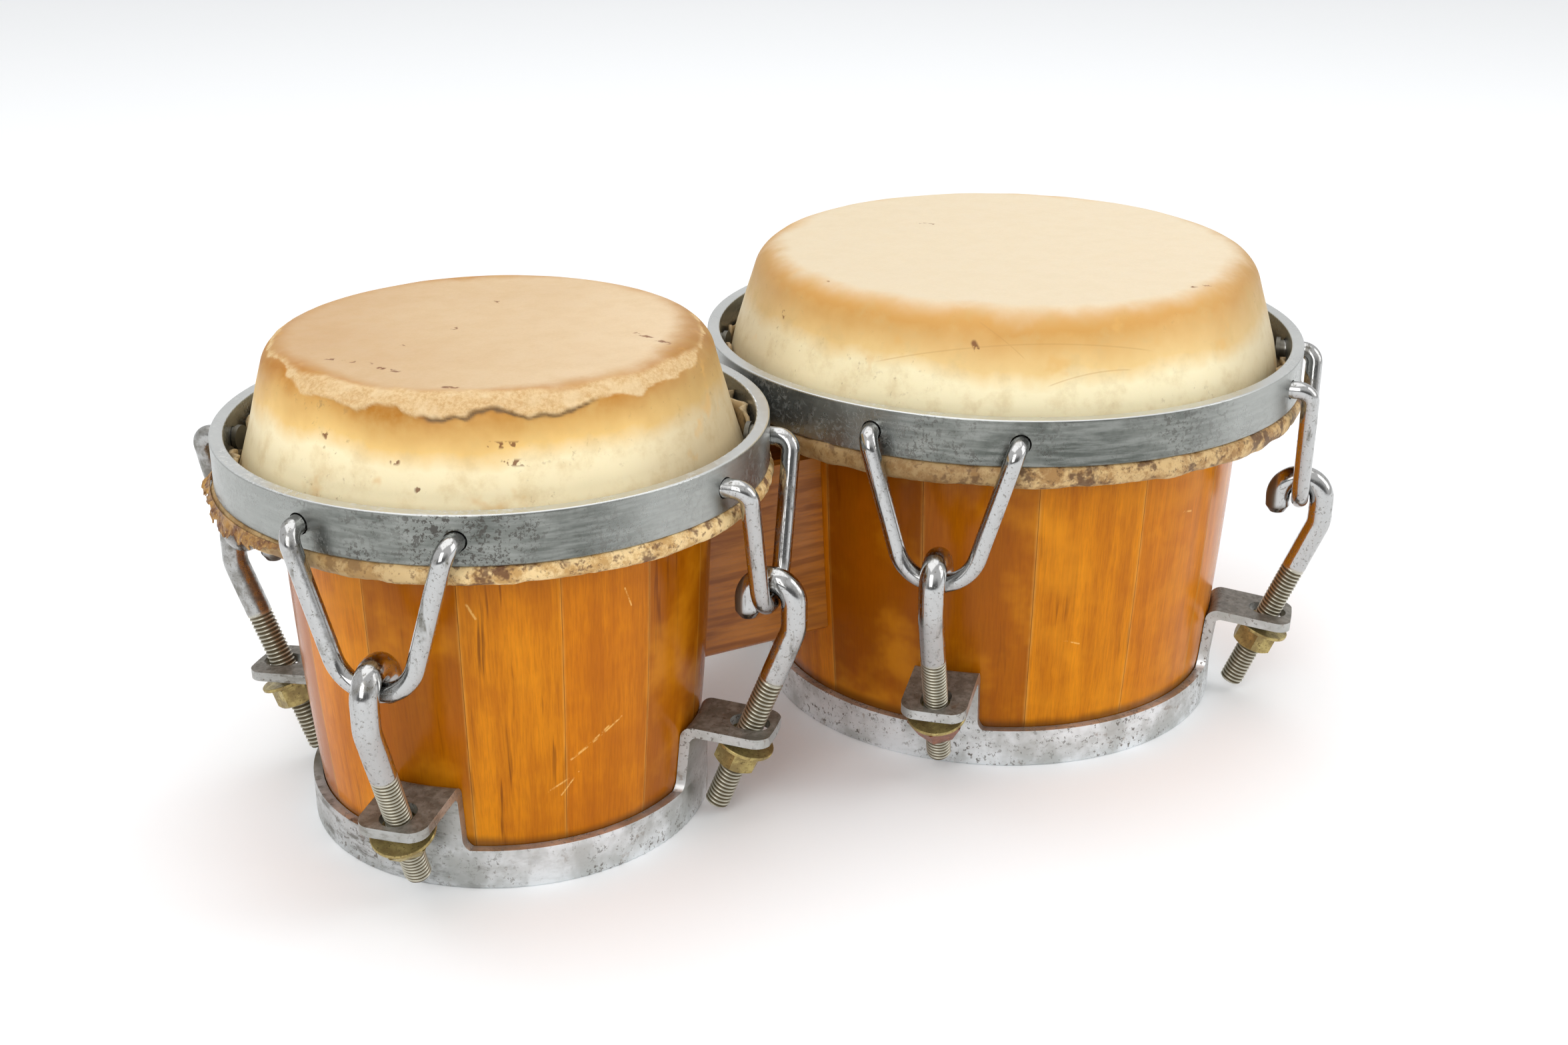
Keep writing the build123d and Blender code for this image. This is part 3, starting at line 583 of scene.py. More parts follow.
def make_hook_bolt(drum, number):
    """The hook bolt with its real thread, swept along the middle line of the CAD bolt."""
    body = f"{drum.name}_hook_bolt_{number}"
    angle = radians(LUG_ANGLES[number])
    nut = JOINTS[f"{drum.name}_nut_{number}_turn"]
    lean = atan2(np.hypot(nut["axis"][0], nut["axis"][1]), nut["axis"][2])
    ear_out = np.hypot(nut["pos_m"][0] - drum.x, nut["pos_m"][1])
    ear_z = nut["pos_m"][2]
    bottom_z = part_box(body)[0][2] + BOLT_R * sin(lean)
    crook_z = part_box(f"{drum.name}_v_loop_{number}")[0][2] + WIRE_R
    bottom = (ear_out + (bottom_z - ear_z) * tan(lean), bottom_z)
    knee = (drum.v_plane + HOOK_R, KNEE_Z)
    stem = rounded([bottom, knee, (drum.v_plane + HOOK_R, crook_z)], [KNEE_R], 0.2 * MM)
    turn = np.radians(np.linspace(0, 184, 60))[1:, None]
    bend = np.array([drum.v_plane, crook_z]) + HOOK_R * np.concatenate([np.cos(turn), np.sin(turn)], axis=1)
    tip_way = (bend[-1] - bend[-2]) / np.linalg.norm(bend[-1] - bend[-2])
    line = np.concatenate([stem, bend, [bend[-1] + tip_way * 6 * MM]])
    total = lengths_along(line)[-1]
    thread_end = (THREAD_TOP_Z - bottom_z) / cos(lean)
    at = np.concatenate([
        [0.0, 0.01 * MM],
        np.arange(0.2 * MM, thread_end, THREAD_PITCH / 8),
        np.arange(thread_end, total - 2.6 * MM, 0.8 * MM),
        [total - 2.6 * MM, total - 2.3 * MM, total - 1.2 * MM, total - 0.2 * MM, total],
    ])
    middle = even(line, at)
    way = normals_of(middle)
    around = np.linspace(0, 2 * pi, 40, endpoint=False)[None, :]
    along = at[:, None]
    wave = 0.5 + 0.5 * np.cos(2 * pi * along / THREAD_PITCH - around)
    cut = THREAD_DEPTH * wave**0.8 * (1 - smooth(along, thread_end - 3 * MM, thread_end - 0.5 * MM))
    radius = BOLT_R - 0.08 * MM - cut
    radius = np.minimum(radius, BOLT_R - BOLT_END + along)
    radius = np.minimum(radius, 2.9 * MM + (total - along) * 0.7)
    radius = np.where(along == 0.0, radius * 0.96, radius)
    core = drum.point(angle, middle[:, 0][:, None] + 0 * around, middle[:, 1][:, None] + 0 * around)
    worn = 0.05 * MM * lumps(core, 4 * MM, 81)
    radius = radius + worn - 0.04 * MM
    out = middle[:, 0][:, None] + radius * np.cos(around) * way[:, 0][:, None]
    z = middle[:, 1][:, None] + radius * np.cos(around) * way[:, 1][:, None]
    side = radius * np.sin(around)
    rows = drum.point(angle, out, z, side)
    marks = {
        "threaded": 1 - smooth(along, thread_end - 2.0 * MM, thread_end) + 0 * around,
        "groove": np.clip(cut / THREAD_DEPTH, 0, 1),
        "tip": smooth(along, total - 4.0 * MM, total - 2.4 * MM) + 0 * around,
    }
    bolt = grid_object(body + "_rod", rows, marks)
    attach(bolt, body)
    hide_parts(body)
    return bolt


# ---------------------------------------------------------------- materials
def drum_polar(n, drum):
    """Angle from 0 to 1 round the drum starting at its first seam, radius and height, in metres."""
    x, y, z = n.split(n.object_point())
    x = n.minus(x, drum.x)
    turn = n.math("DIVIDE", n.minus(n.math("ARCTAN2", y, x), drum.first_seam), 2 * pi)
    radius = n.math("SQRT", n.plus(n.times(x, x), n.times(y, y)))
    return n.math("FRACT", n.plus(turn, 1.0)), radius, z


STAVES = 14
RING_TOP_Z = 15.0 * MM


def stave_wood(drum, tones, scratches):
    """Varnished staves, each with its own tone from tones, with upright grain and pale joints.
    scratches are pale strokes from one (degrees, mm above the floor) to another, and their width."""
    n = new_material(drum.name + "_staves")
    turn, radius, z = drum_polar(n, drum)
    place = n.times(turn, STAVES)
    index = n.math("FLOOR", place)
    across = n.math("FRACT", place)
    middle = n.math("DIVIDE", n.plus(index, 0.5), STAVES)
    tone = n.ramp(middle, [(k / STAVES, tones[k]) for k in range(STAVES)], "CONSTANT")
    arc = n.times(turn, 2 * pi * drum.corner_r)
    grain_at = n.join(arc, n.times(index, 0.37), n.times(z, 0.07))
    wander = n.noise(n.join(n.times(arc, 0.5), index, n.times(z, 0.5)), 26.0, 2.0)
    bent = n.join(n.plus(arc, n.times(wander, 0.006)), n.times(index, 0.37), n.times(z, 0.05))
    broad = n.noise(bent, 170.0, 3.0, 0.6)
    fine = n.noise(grain_at, 1400.0, 4.0, 0.65)
    streaks = n.steps(n.noise(bent, 520.0, 2.0, 0.5), 0.60, 0.72)
    colour = n.mix(n.steps(broad, 0.35, 0.66, 0.0, 0.42), tone, (0.32, 0.075, 0.001))
    colour = n.mix(n.steps(fine, 0.42, 0.62, 0.0, 0.24), colour, (0.20, 0.045, 0.001))
    gathered = n.steps(n.noise(n.join(arc, index, n.times(z, 0.4)), 30.0, 2.0), 0.45, 0.65)
    colour = n.mix(n.times(n.times(streaks, gathered), 0.70), colour, (0.13, 0.028, 0.001))
    cloud = n.noise(n.object_point(), 24.0, 4.0, 0.6)
    colour = n.mix(n.steps(cloud, 0.46, 0.68, 0.0, 0.40), colour, (0.86, 0.33, 0.010))
    colour = n.mix(n.steps(cloud, 0.48, 0.32, 0.0, 0.35), colour, (0.40, 0.10, 0.002))
    knots = n.cells(n.stretch(n.join(arc, index, z), (1.0, 1.0, 0.55)), 26.0)
    low_down = n.steps(z, 60 * MM, 25 * MM, 0.25, 1.0)
    colour = n.mix(n.times(n.steps(knots, 0.11, 0.02), n.times(low_down, 0.6)), colour, (0.10, 0.022, 0.001))
    seam = n.math("MINIMUM", across, n.minus(1.0, across))
    fitful = n.steps(n.noise(n.join(index, 0.0, z), 60.0), 0.3, 0.6, 0.05, 0.32)
    pale = n.times(n.steps(seam, 0.032, 0.0), fitful)
    colour = n.mix(pale, colour, (0.82, 0.46, 0.10))
    colour = n.mix(n.steps(seam, 0.0055, 0.0015, 0.0, 0.55), colour, (0.14, 0.035, 0.003))
    shade = n.steps(z, drum.roll_bottom - 14 * MM, drum.roll_bottom, 0.0, 0.45)
    colour = n.mix(shade, colour, (0.10, 0.025, 0.002))
    # Darker at the foot where the staves meet the base ring: grime and painted shade.
    foot_grime_and_painted_shade = n.plus(n.times(cloud, 5 * MM), RING_TOP_Z)
    foot_grime_and_painted_shade = n.steps(n.minus(z, foot_grime_and_painted_shade), 2 * MM, -2 * MM, 0.0, 0.7)
    colour = n.mix(foot_grime_and_painted_shade, colour, (0.10, 0.035, 0.006))
    flat = n.join(arc, z)
    scratched = 0.0
    for start, end, width in scratches:
        ends = [drum.unrolled(spot, drum.corner_r) for spot in (start, end)]
        scratched = n.greater(scratched, n.stroke(flat, *ends, width * MM))
    patchy = n.steps(n.noise(n.object_point(), 260.0, 3.0, 0.7), 0.40, 0.56)
    colour = n.mix(n.times(n.times(scratched, patchy), 0.65), colour, (0.95, 0.58, 0.16))
    inner = n.steps(n.minus(radius, wall_middle(n, drum, z)), 0.0008, -0.0008)
    raw = n.mix(n.steps(broad, 0.3, 0.7), (0.46, 0.27, 0.12), (0.33, 0.18, 0.07))
    colour = n.mix(inner, colour, raw)
    rough = n.blend_values(inner, n.steps(fine, 0.3, 0.7, 0.16, 0.26), 0.75)
    height = n.plus(n.times(broad, 0.6), n.times(fine, 0.4))
    return n.surface(
        Base_Color=colour,
        Roughness=rough,
        Specular_IOR_Level=n.blend_values(inner, 0.14, 0.12),
        Normal=n.bump(height, 0.00012, 0.35),
    )


def wall_middle(n, drum, z):
    """Radius of the middle of the shell's wall at a height, from the boxes of the shell's foot and belly."""
    low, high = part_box(drum.name + "_shell")
    outer = (high[0] - low[0]) / 2
    foot = outer - 8.4 * MM
    share = n.math("DIVIDE", z, high[2])
    bulge = n.times(n.minus(2.0, share), share)
    return n.plus(foot - 5 * MM, n.times(bulge, outer - foot - 0.3 * MM))


def bright_chrome(drum):
    """V loops and hook bolts: bright, with grime specks and upright streaks of painted dark reflection, dirty
    inside the rim and at the far left.
    """
    n = new_material(drum.name + "_chrome")
    point = n.object_point()
    radius = drum_polar(n, drum)[1]
    specks = n.steps(n.noise(point, 800.0, 3.0, 0.75), 0.57, 0.66)
    streaks = n.steps(n.noise(n.stretch(point, (1.0, 1.0, 0.10)), 260.0, 3.0, 0.6), 0.50, 0.62)
    patches = n.steps(n.noise(point, 110.0, 4.0, 0.65), 0.42, 0.68)
    # Grime specks, and patches of upright streaks that are painted dark reflection.
    grime_and_painted_reflection = n.plus(n.times(specks, 0.65), n.times(n.times(patches, streaks), 0.75), clamp=True)
    x, y = n.split(point)[:2]
    far_left = n.times(n.steps(x, -0.15, -0.18), n.steps(y, 0.01, 0.04, 0.0, 0.8))
    grime_and_painted_reflection = n.greater(grime_and_painted_reflection, n.times(far_left, n.plus(patches, 0.25, clamp=True)))
    inside = n.steps(radius, drum.rim_r - RIM_THICKNESS + MM, drum.rim_r - RIM_THICKNESS - MM)
    grime_and_painted_reflection = n.greater(grime_and_painted_reflection, n.times(inside, 0.95))
    threaded = n.attribute("threaded")
    groove = n.attribute("groove")
    tip = n.attribute("tip")
    colour = n.mix(grime_and_painted_reflection, (0.48, 0.48, 0.475), (0.12, 0.11, 0.085))
    in_thread = n.mix(n.steps(groove, 0.20, 0.80), (0.52, 0.50, 0.41), (0.10, 0.075, 0.035))
    colour = n.mix(threaded, colour, in_thread)
    colour = n.mix(n.times(tip, 0.8), colour, (0.14, 0.12, 0.10))
    rough = n.blend_values(threaded, n.blend_values(grime_and_painted_reflection, 0.13, 0.45), n.blend_values(groove, 0.28, 0.65))
    metal = n.minus(1.0, n.times(grime_and_painted_reflection, 0.3))
    worn = n.times(n.times(threaded, groove), 0.6)
    metal = n.times(metal, n.minus(1.0, worn))
    return n.surface(
        Base_Color=colour,
        Metallic=metal,
        Roughness=rough,
        Normal=n.bump(n.noise(point, 260.0, 3.0), 0.00012, 0.35),
    )


def aged_chrome():
    """The rims: grey, pitted, with slanted brush lines, a painted highlight on the top edge and painted
    reflection lightening the faces turned away from the camera.
    """
    n = new_material("aged_rims")
    point = n.object_point()
    x = n.split(point)[0]
    small_pits = n.steps(n.noise(point, 720.0, 3.0, 0.75), 0.545, 0.60)
    large_pits = n.steps(n.noise(point, 380.0, 3.0, 0.7), 0.57, 0.61)
    pits = n.greater(small_pits, large_pits)
    where = n.steps(n.noise(point, 32.0, 4.0, 0.65), 0.38, 0.58, 0.15, 1.0)
    left = n.steps(x, -0.10, -0.20, 0.55, 1.0)
    pits = n.times(pits, n.times(where, left))
    cloud = n.noise(point, 34.0, 4.0, 0.6)
    brushed = n.noise(n.stretch(point, (0.12, 0.12, 1.0)), 700.0, 3.0)
    colour = n.mix(n.steps(cloud, 0.35, 0.68), (0.095, 0.103, 0.092), (0.235, 0.245, 0.225))
    colour = n.mix(n.steps(brushed, 0.35, 0.7, 0.0, 0.35), colour, (0.42, 0.43, 0.405))
    colour = n.mix(n.times(pits, 0.92), colour, (0.04, 0.032, 0.024))
    # Painted reflection: faces turned away from the camera are lightened, and the front-facing faces stay dark.
    across, along, facing = n.split(n.add("NewGeometry").outputs["Normal"])
    front = n.minus(n.times(across, -0.45), n.times(along, 0.9))
    painted_side_reflection = n.steps(n.plus(front, n.times(cloud, 0.3)), 1.10, 0.92)
    colour = n.mix(n.times(painted_side_reflection, 0.62), colour, (0.44, 0.45, 0.43))
    # Painted highlight on the upward-facing top edge.
    top = n.steps(facing, 0.35, 0.8)
    colour = n.mix(n.times(top, 0.6), colour, (0.78, 0.80, 0.80))
    return n.surface(
        Base_Color=colour,
        Metallic=n.minus(0.92, n.times(pits, 0.7)),
        Roughness=n.steps(cloud, 0.3, 0.7, 0.24, 0.36),
        Normal=n.bump(n.minus(n.times(brushed, 0.3), pits), 0.0001, 0.6),
    )


def ring_metal():
    """Base rings and their ears: dull grey, speckled, the ears' tops darker and browner."""
    n = new_material("base_ring_metal")
    point = n.object_point()
    z = n.split(point)[2]
    specks = n.steps(n.noise(point, 560.0, 3.0, 0.75), 0.56, 0.63)
    where = n.steps(n.noise(point, 36.0, 4.0, 0.65), 0.36, 0.62, 0.1, 1.0)
    specks = n.times(specks, where)
    cloud = n.noise(point, 55.0, 4.0, 0.6)
    colour = n.mix(n.steps(cloud, 0.36, 0.62), (0.56, 0.58, 0.57), (0.92, 0.95, 0.97))
    smudge = n.steps(n.noise(n.stretch(point, (1.0, 1.0, 3.0)), 90.0, 5.0, 0.7), 0.48, 0.66)
    left = n.steps(n.split(point)[0], -0.12, -0.19, 0.18, 0.95)
    colour = n.mix(n.times(n.plus(n.times(smudge, 0.5), 0.45), left), colour, (0.15, 0.145, 0.125))
    facing = n.split(n.add("NewGeometry").outputs["Normal"])[2]
    ear = n.steps(z, 15.5 * MM, 24 * MM)
    colour = n.mix(n.times(ear, 0.50), colour, (0.29, 0.28, 0.245))
    top = n.times(n.steps(facing, 0.6, 0.95), n.steps(z, 33 * MM, 36 * MM))
    coarse = n.steps(n.noise(point, 240.0, 4.0, 0.7), 0.35, 0.7)
    mottled = n.mix(coarse, (0.10, 0.088, 0.066), (0.25, 0.235, 0.20))
    colour = n.mix(n.times(top, 0.9), colour, mottled)
    rust = n.steps(n.noise(point, 150.0, 3.0, 0.7), 0.62, 0.72)
    colour = n.mix(n.times(rust, 0.45), colour, (0.17, 0.085, 0.035))
    colour = n.mix(n.times(specks, 0.85), colour, (0.09, 0.07, 0.05))
    dull = n.greater(n.times(top, 0.7), n.times(specks, 0.7))
    return n.surface(
        Base_Color=colour,
        Metallic=n.minus(0.85, n.times(dull, 0.8)),
        Roughness=n.steps(cloud, 0.3, 0.7, 0.30, 0.46),
        Normal=n.bump(n.minus(cloud, specks), 0.00012, 0.5),
    )


def patina(name, clean, dark, spot, metal=0.8):
    """A worn surface in three tones: metal, unless its last value is 0."""
    n = new_material(name)
    point = n.object_point()
    cloud = n.noise(point, 210.0, 4.0, 0.65)
    fine = n.noise(point, 1100.0, 3.0, 0.6)
    colour = n.mix(n.steps(cloud, 0.36, 0.64), clean, dark)
    colour = n.mix(n.steps(fine, 0.56, 0.70, 0.0, 0.8), colour, spot)
    return n.surface(
        Base_Color=colour,
        Metallic=n.steps(cloud, 0.4, 0.75, metal, metal * 0.45),
        Roughness=n.steps(fine, 0.3, 0.7, 0.30, 0.55),
        Normal=n.bump(fine, 0.00012, 0.5),
    )


def hair_lines(n, drum, z, hairs):
    """Faint arcs on the side of a head. Each hair is (middle and half length in degrees, height in mm above
    the floor, rise to the end, sag of both ends)."""
    turn = drum_polar(n, drum)[0]
    strength = 0.0
    for middle, half, high, rise, sag in hairs:
        start = (radians(middle) - drum.first_seam) % (2 * pi) / (2 * pi)
        share = n.times(n.minus(turn, start), 360 / half)
        bent = n.minus(rise * MM, n.times(share, sag * MM))
        line = n.plus(high * MM, n.times(share, bent))
        away = n.math("ABSOLUTE", n.minus(z, line))
        within = n.steps(n.math("ABSOLUTE", share), 1.0, 0.85)
        strength = n.greater(strength, n.times(n.steps(away, 0.35 * MM, 0.1 * MM), within))
    return strength


def rawhide(drum, top_tones_with_painted_shade, band_tones, low_tone, roll_tones, tuck_tone, band_start, band_end, left_painted_shade,
            top_marks, side_marks, hairs=()):
    """Worn rawhide. top_tones_with_painted_shade are (left, middle, right), the left darker as painted shade,
    and roll_tones (pale, brown, dark). band_tones are the darkest and the fading tone of the band from
    band_start to band_end mm past the edge. low_tone lies below it, and tuck_tone is the crumpled edge inside
    the rim. left_painted_shade is the painted shade at the left end of the side. top_marks are rows of dashes
    from one (degrees, mm from the axis) to another, side_marks the same with (degrees, mm above the floor),
    hairs as in hair_lines."""
    n = new_material(drum.name + "_rawhide")
    point = n.object_point()
    x, y, z = n.split(point)
    beyond = n.attribute("beyond")
    torn = n.attribute("torn")
    crease = n.attribute("crease")
    rolled = n.attribute("rolled")
    under = n.attribute("under")
    cloud = n.noise(point, 22.0, 4.0, 0.6)
    mottle = n.noise(point, 95.0, 5.0, 0.65)
    fine = n.noise(point, 900.0, 4.0, 0.7)
    # The top's tone runs from left to right across the camera's view: the hide's own tones, darker on the left
    # as painted shade.
    sideways = n.minus(n.times(n.minus(x, drum.x), 0.87), n.times(y, 0.49))
    side = n.math("DIVIDE", n.plus(sideways, drum.corner_r), 2 * drum.corner_r)
    wavering = n.plus(side, n.times(n.minus(cloud, 0.5), 0.55))
    left, middle, right = top_tones_with_painted_shade
    top = n.ramp(wavering, [(0.05, left), (0.45, middle), (0.92, right)])
    top = n.mix(n.steps(mottle, 0.40, 0.72, 0.0, 0.12), top, tuple(0.82 * c for c in left))
    top = n.mix(n.steps(fine, 0.35, 0.75, 0.0, 0.12), top, tuple(0.75 * c for c in left))
    uneven = n.plus(beyond, n.times(n.minus(cloud, 0.5), 20.0))
    uneven = n.plus(uneven, n.times(n.minus(mottle, 0.5), 5.0))
    start, end = band_start, band_end
    span = end - start
    position = n.math("DIVIDE", n.minus(uneven, start), span)
    dark_band, fading = band_tones
    mid_tone = tuple((a + b) / 2 for a, b in zip(dark_band, fading))
    stops = [(0.0, dark_band), (0.18, dark_band), (0.45, mid_tone), (0.72, fading), (1.0, low_tone)]
    tone = n.ramp(position, stops)
    tone = n.mix(n.steps(mottle, 0.46, 0.74, 0.0, 0.38), tone, tuple(0.72 * c for c in fading))
    on_side = n.steps(uneven, start - 9.0, start + 4.0)
    colour = n.mix(on_side, top, tone)
    # Painted shade: the side of the head darker at its left and right ends across the camera's view.
    painted_end_shade = n.plus(n.steps(side, 0.80, 1.04, 0.0, 0.52), n.steps(side, 0.12, -0.06, 0.0, left_painted_shade))
    colour = n.mix(n.times(painted_end_shade, on_side), colour, (0.30, 0.19, 0.08))
    low_spots = n.times(n.steps(n.noise(point, 60.0, 3.0, 0.6), 0.62, 0.74), on_side)
    colour = n.mix(n.times(low_spots, 0.45), colour, (0.74, 0.42, 0.12))
    grime = n.times(n.steps(n.noise(point, 330.0, 3.0, 0.7), 0.60, 0.72), n.steps(cloud, 0.45, 0.70))
    colour = n.mix(n.times(grime, n.times(on_side, 0.55)), colour, (0.30, 0.19, 0.07))
    dots = n.cells(n.stretch(point, (1.0, 0.55, 1.0)), 44.0)
    few = n.steps(n.noise(point, 19.0, 1.0), 0.58, 0.64)
    colour = n.mix(n.times(n.steps(dots, 0.034, 0.018), n.times(few, 0.8)), colour, (0.20, 0.06, 0.015))
    local = n.join(n.minus(x, drum.x), y)
    unrolled = n.join(n.times(drum_polar(n, drum)[0], 2 * pi * drum.wall_at_rim), z)
    dash = 0.0
    on_top = n.steps(z, drum.head_top - 8 * MM, drum.head_top - 4 * MM)
    for mark in top_marks:
        ends = [(out * MM * cos(radians(turned)), out * MM * sin(radians(turned))) for turned, out in mark]
        dash = n.greater(dash, n.times(n.stroke(local, *ends, MARK_WIDTH), on_top))
    for mark in side_marks:
        ends = [drum.unrolled(place, drum.wall_at_rim) for place in mark]
        dash = n.greater(dash, n.stroke(unrolled, *ends, MARK_WIDTH))
    broken = n.steps(n.noise(point, 330.0, 2.0, 0.6), 0.50, 0.56)
    colour = n.mix(n.times(n.times(dash, broken), 0.85), colour, (0.17, 0.05, 0.012))
    hair = hair_lines(n, drum, z, hairs)
    colour = n.mix(n.times(hair, 0.32), colour, (0.50, 0.27, 0.08))
    shred = n.noise(point, 640.0, 5.0, 0.8)
    fuzz = n.mix(n.steps(shred, 0.38, 0.64), (0.74, 0.55, 0.31), (0.58, 0.38, 0.18))
    fuzz = n.mix(n.steps(n.noise(point, 130.0, 3.0), 0.45, 0.7, 0.0, 0.6), fuzz, (0.80, 0.64, 0.40))
    colour = n.mix(n.times(torn, 0.85), colour, fuzz)
    # Painted shadow in the crease under the torn band.
    colour = n.mix(n.times(crease, 0.85), colour, (0.13, 0.085, 0.045))
    pale_roll, brown_roll, dark_roll = roll_tones
    rough_roll = n.mix(n.steps(n.noise(point, 130.0, 6.0, 0.75), 0.42, 0.60), pale_roll, brown_roll)
    rough_roll = n.mix(n.steps(n.noise(point, 85.0, 4.0, 0.7), 0.53, 0.62, 0.0, 0.85), rough_roll, dark_roll)
    rough_roll = n.mix(n.steps(n.noise(point, 420.0, 4.0, 0.7), 0.54, 0.66, 0.0, 0.75), rough_roll, dark_roll)
    stained = n.times(n.steps(n.minus(x, drum.x), -0.45 * drum.rim_r, -0.8 * drum.rim_r), 0.65)
    rough_roll = n.mix(stained, rough_roll, tuple(0.55 * c for c in brown_roll))
    colour = n.mix(rolled, colour, rough_roll)
    # The crumpled edge inside the rim in its beige tone, with darker patches as painted shade in the crumples.
    crumpled = n.steps(n.noise(point, 210.0, 4.0, 0.7), 0.40, 0.62)
    tuck_tone_and_painted_shade = n.mix(crumpled, tuck_tone, tuple(0.5 * c for c in tuck_tone))
    colour = n.mix(n.attribute("tucked"), colour, tuck_tone_and_painted_shade)
    inside = n.times(under, n.minus(1.0, rolled))
    colour = n.mix(n.times(inside, 0.6), colour, (0.62, 0.44, 0.24))
    creased = n.plus(n.times(fine, 0.35), n.times(mottle, 0.65))
    torn_height = n.times(torn, shred)
    height = n.plus(creased, n.times(torn_height, 2.5))
    height = n.plus(height, n.times(rolled, n.noise(point, 300.0, 4.0, 0.7)))
    rough = n.blend_values(torn, n.steps(mottle, 0.3, 0.7, 0.44, 0.62), 0.9)
    return n.surface(
        Base_Color=colour,
        Roughness=rough,
        Specular_IOR_Level=n.blend_values(torn, 0.30, 0.05),
        Subsurface_Weight=0.08,
        Subsurface_Radius=(0.6, 0.35, 0.18),
        Subsurface_Scale=0.003,
        Normal=n.bump(height, 0.0002, 0.45),
    )


def bridge_wood():
    n = new_material("bridge_block_wood")
    point = n.object_point()
    grain = n.noise(n.stretch(point, (0.08, 1.0, 1.0)), 420.0, 4.0, 0.6, 0.4)
    broad = n.noise(n.stretch(point, (0.2, 1.0, 1.0)), 70.0, 2.0)
    colour = n.mix(n.steps(grain, 0.35, 0.68), (0.50, 0.17, 0.018), (0.27, 0.078, 0.006))
    colour = n.mix(n.steps(broad, 0.4, 0.7, 0.0, 0.4), colour, (0.60, 0.23, 0.03))
    return n.surface(
        Base_Color=colour,
        Roughness=n.steps(grain, 0.3, 0.7, 0.24, 0.36),
        Specular_IOR_Level=0.4,
        Normal=n.bump(grain, 0.0001, 0.4),
    )


def plain_steel():
    n = new_material("hoop_and_bridge_steel")
    cloud = n.noise(n.object_point(), 120.0, 4.0, 0.6)
    colour = n.mix(n.steps(cloud, 0.35, 0.65), (0.48, 0.47, 0.45), (0.30, 0.27, 0.23))
    return n.surface(Base_Color=colour, Metallic=0.9, Roughness=n.steps(cloud, 0.3, 0.7, 0.32, 0.5))


def paint(material, *names):
    for name in names:
        for slot in frame["nodes"][name].material_slots:
            slot.material = material


# ---------------------------------------------------------------- put together
BRIGHT = (0.70, 0.235, 0.003)
AMBER = (0.66, 0.205, 0.002)
BROWN = (0.42, 0.120, 0.001)
DEEP = (0.30, 0.080, 0.001)
SMALL_TONES = [
    AMBER, BROWN, BRIGHT, AMBER, DEEP, BRIGHT, BROWN,
    AMBER, BROWN, BRIGHT, AMBER, BROWN, DEEP, AMBER,
]
LARGE_TONES = [
    BROWN, AMBER, BRIGHT, BROWN, AMBER, DEEP, AMBER,
    # The first tone on this row, for the stave facing the small drum, is deep as painted shade from the small
    # drum.
    DEEP, BROWN, BRIGHT, AMBER, AMBER, BROWN, BRIGHT,
]

fringe = make_fringe(SMALL, 151, 207)
small_head = make_head(SMALL, 720, 0.55 * MM, small_tear)
large_head = make_head(LARGE, 560, 0.9 * MM)

small_hide = rawhide(
    SMALL,
    top_tones_with_painted_shade=((0.55, 0.355, 0.18), (0.62, 0.44, 0.25), (0.70, 0.53, 0.33)),
    band_tones=((0.43, 0.17, 0.010), (0.82, 0.54, 0.19)),
    low_tone=(0.95, 0.82, 0.53),
    roll_tones=((0.80, 0.59, 0.30), (0.52, 0.31, 0.11), (0.12, 0.045, 0.018)),
    tuck_tone=(0.60, 0.45, 0.25),
    band_start=3.0,
    band_end=26.0,
    left_painted_shade=0.25,
    top_marks=[
        ((186, 60), (201, 52)),
        ((207, 53), (215, 53)),
        ((324, 51), (314, 66)),
        ((186, 33), (189, 32)),
        ((236, 64), (239, 64)),
        ((150, 11), (156, 12)),
        ((60, 30), (64, 34)),
    ],
    side_marks=[
        ((248, 163.5), (255, 163)),
        ((251, 158), (257, 157.5)),
        ((207, 163), (208, 162)),
        ((226, 158), (227, 158)),
        ((232, 150), (233, 150)),
        ((120, 160), (128, 159)),
    ],
)
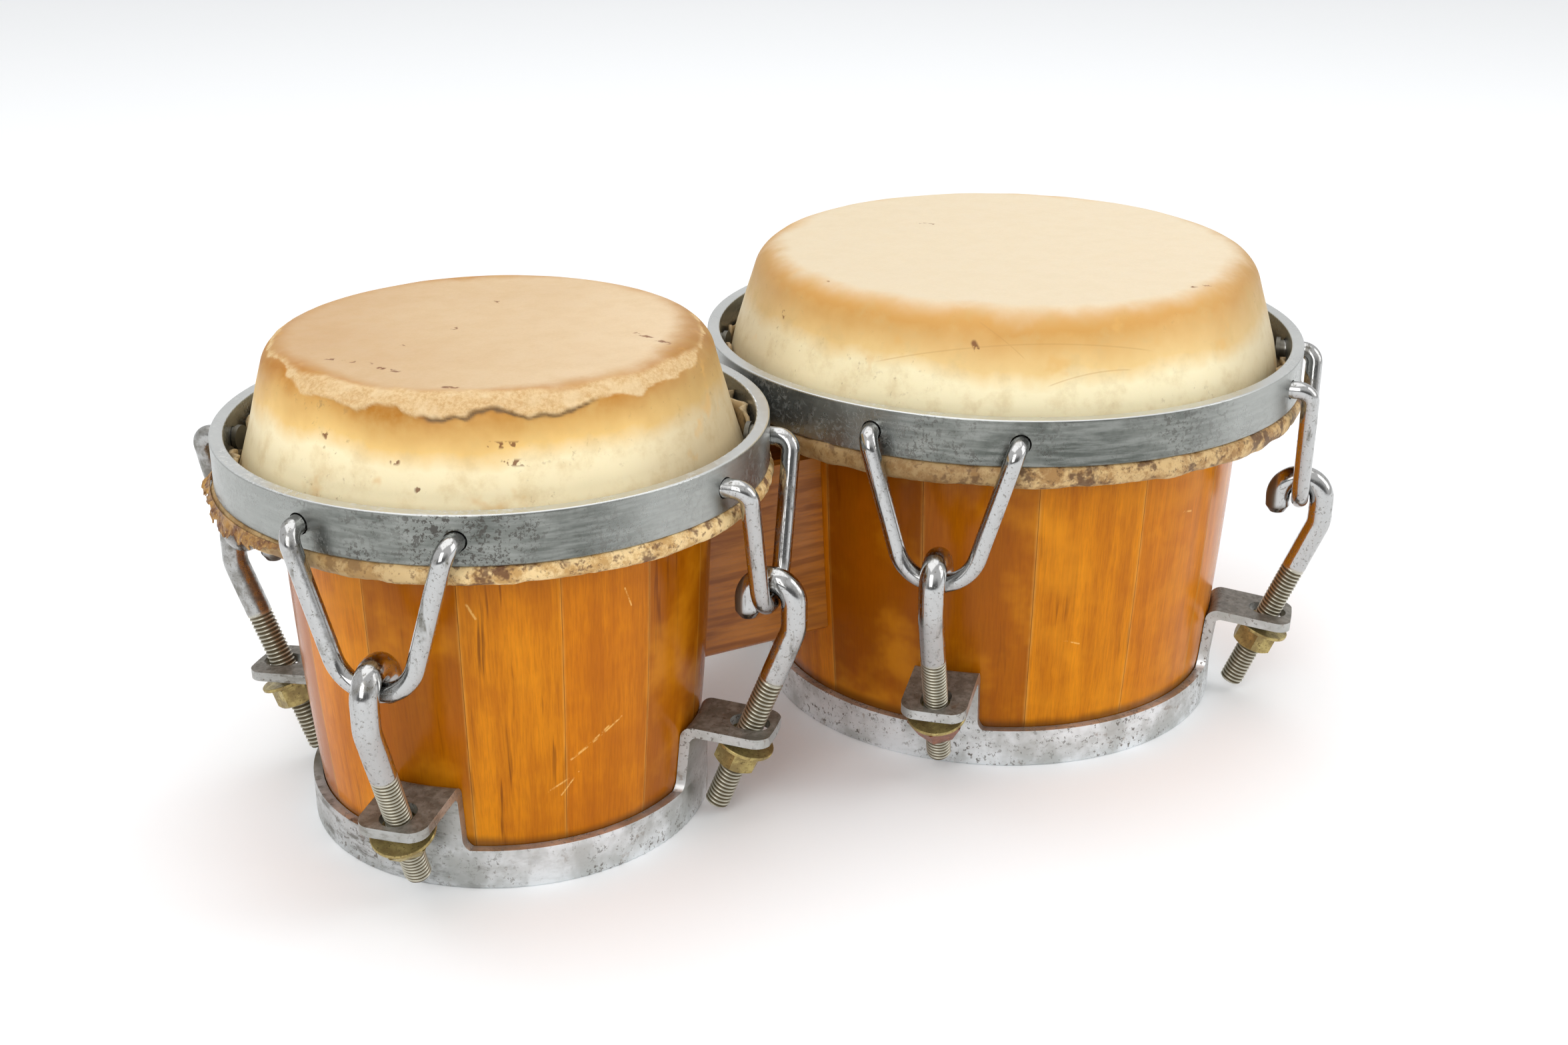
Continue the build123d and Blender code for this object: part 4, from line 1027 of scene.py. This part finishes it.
large_hide = rawhide(
    LARGE,
    top_tones_with_painted_shade=((0.70, 0.58, 0.40), (0.72, 0.60, 0.42), (0.74, 0.62, 0.44)),
    band_tones=((0.62, 0.33, 0.085), (0.82, 0.58, 0.25)),
    low_tone=(0.96, 0.85, 0.56),
    roll_tones=((0.62, 0.43, 0.20), (0.36, 0.20, 0.07), (0.10, 0.045, 0.02)),
    tuck_tone=(0.50, 0.35, 0.18),
    band_start=6.0,
    band_end=30.0,
    left_painted_shade=0.5,
    top_marks=[((285, 87), (291, 90)), ((100, 40), (104, 46))],
    side_marks=[((180, 167), (180.6, 166)), ((228.5, 170), (230, 166)), ((30, 160), (33, 158))],
    hairs=[(237, 30, 170, 3, 8), (234, 5, 172, -6, 1), (252, 9, 160, 2, 2), (70, 20, 165, -2, 6)],
)
small_head.data.materials.append(small_hide)
large_head.data.materials.append(large_hide)
frayed_hide = patina("frayed_hide", (0.40, 0.21, 0.05), (0.13, 0.045, 0.012), (0.60, 0.38, 0.13), 0.0)
fringe.data.materials.append(frayed_hide)

brass = patina("aged_brass", (0.52, 0.42, 0.17), (0.26, 0.19, 0.07), (0.12, 0.08, 0.03))
small_wood = stave_wood(SMALL, SMALL_TONES, [
    ((263, 45), (280, 58), 0.5),
    ((265, 46.5), (276, 56), 0.5),
    ((258, 35), (264, 39), 0.5),
    ((262, 33), (267, 41), 0.4),
    ((281, 106), (283, 99), 0.4),
    ((130, 50), (141, 60), 0.4),
    ((240, 108), (242, 103), 0.6),
])
large_wood = stave_wood(LARGE, LARGE_TONES, [
    ((283, 96), (286, 95), 0.5),
    ((252, 52), (256, 50), 0.4),
    ((60, 70), (68, 78), 0.4),
])
for drum, wood in ((SMALL, small_wood), (LARGE, large_wood)):
    chrome = bright_chrome(drum)
    paint(wood, drum.name + "_shell")
    paint(brass, drum.name + "_lug_washers")
    for number in LUG_ANGLES:
        make_hook_bolt(drum, number).data.materials.append(chrome)
        paint(chrome, f"{drum.name}_v_loop_{number}")
        paint(brass, f"{drum.name}_nut_{number}")
paint(aged_chrome(), "small_rim", "large_rim")
paint(ring_metal(), "small_base_ring", "large_base_ring")
paint(patina("rusted_nut", (0.30, 0.10, 0.05), (0.16, 0.055, 0.03), (0.40, 0.20, 0.09), 0.25), "large_nut_3")
paint(bridge_wood(), "bridge_block")
paint(plain_steel(), "small_flesh_hoop", "large_flesh_hoop", "bridge_bolts")
paint(brass, "bridge_washers", "bridge_nuts")
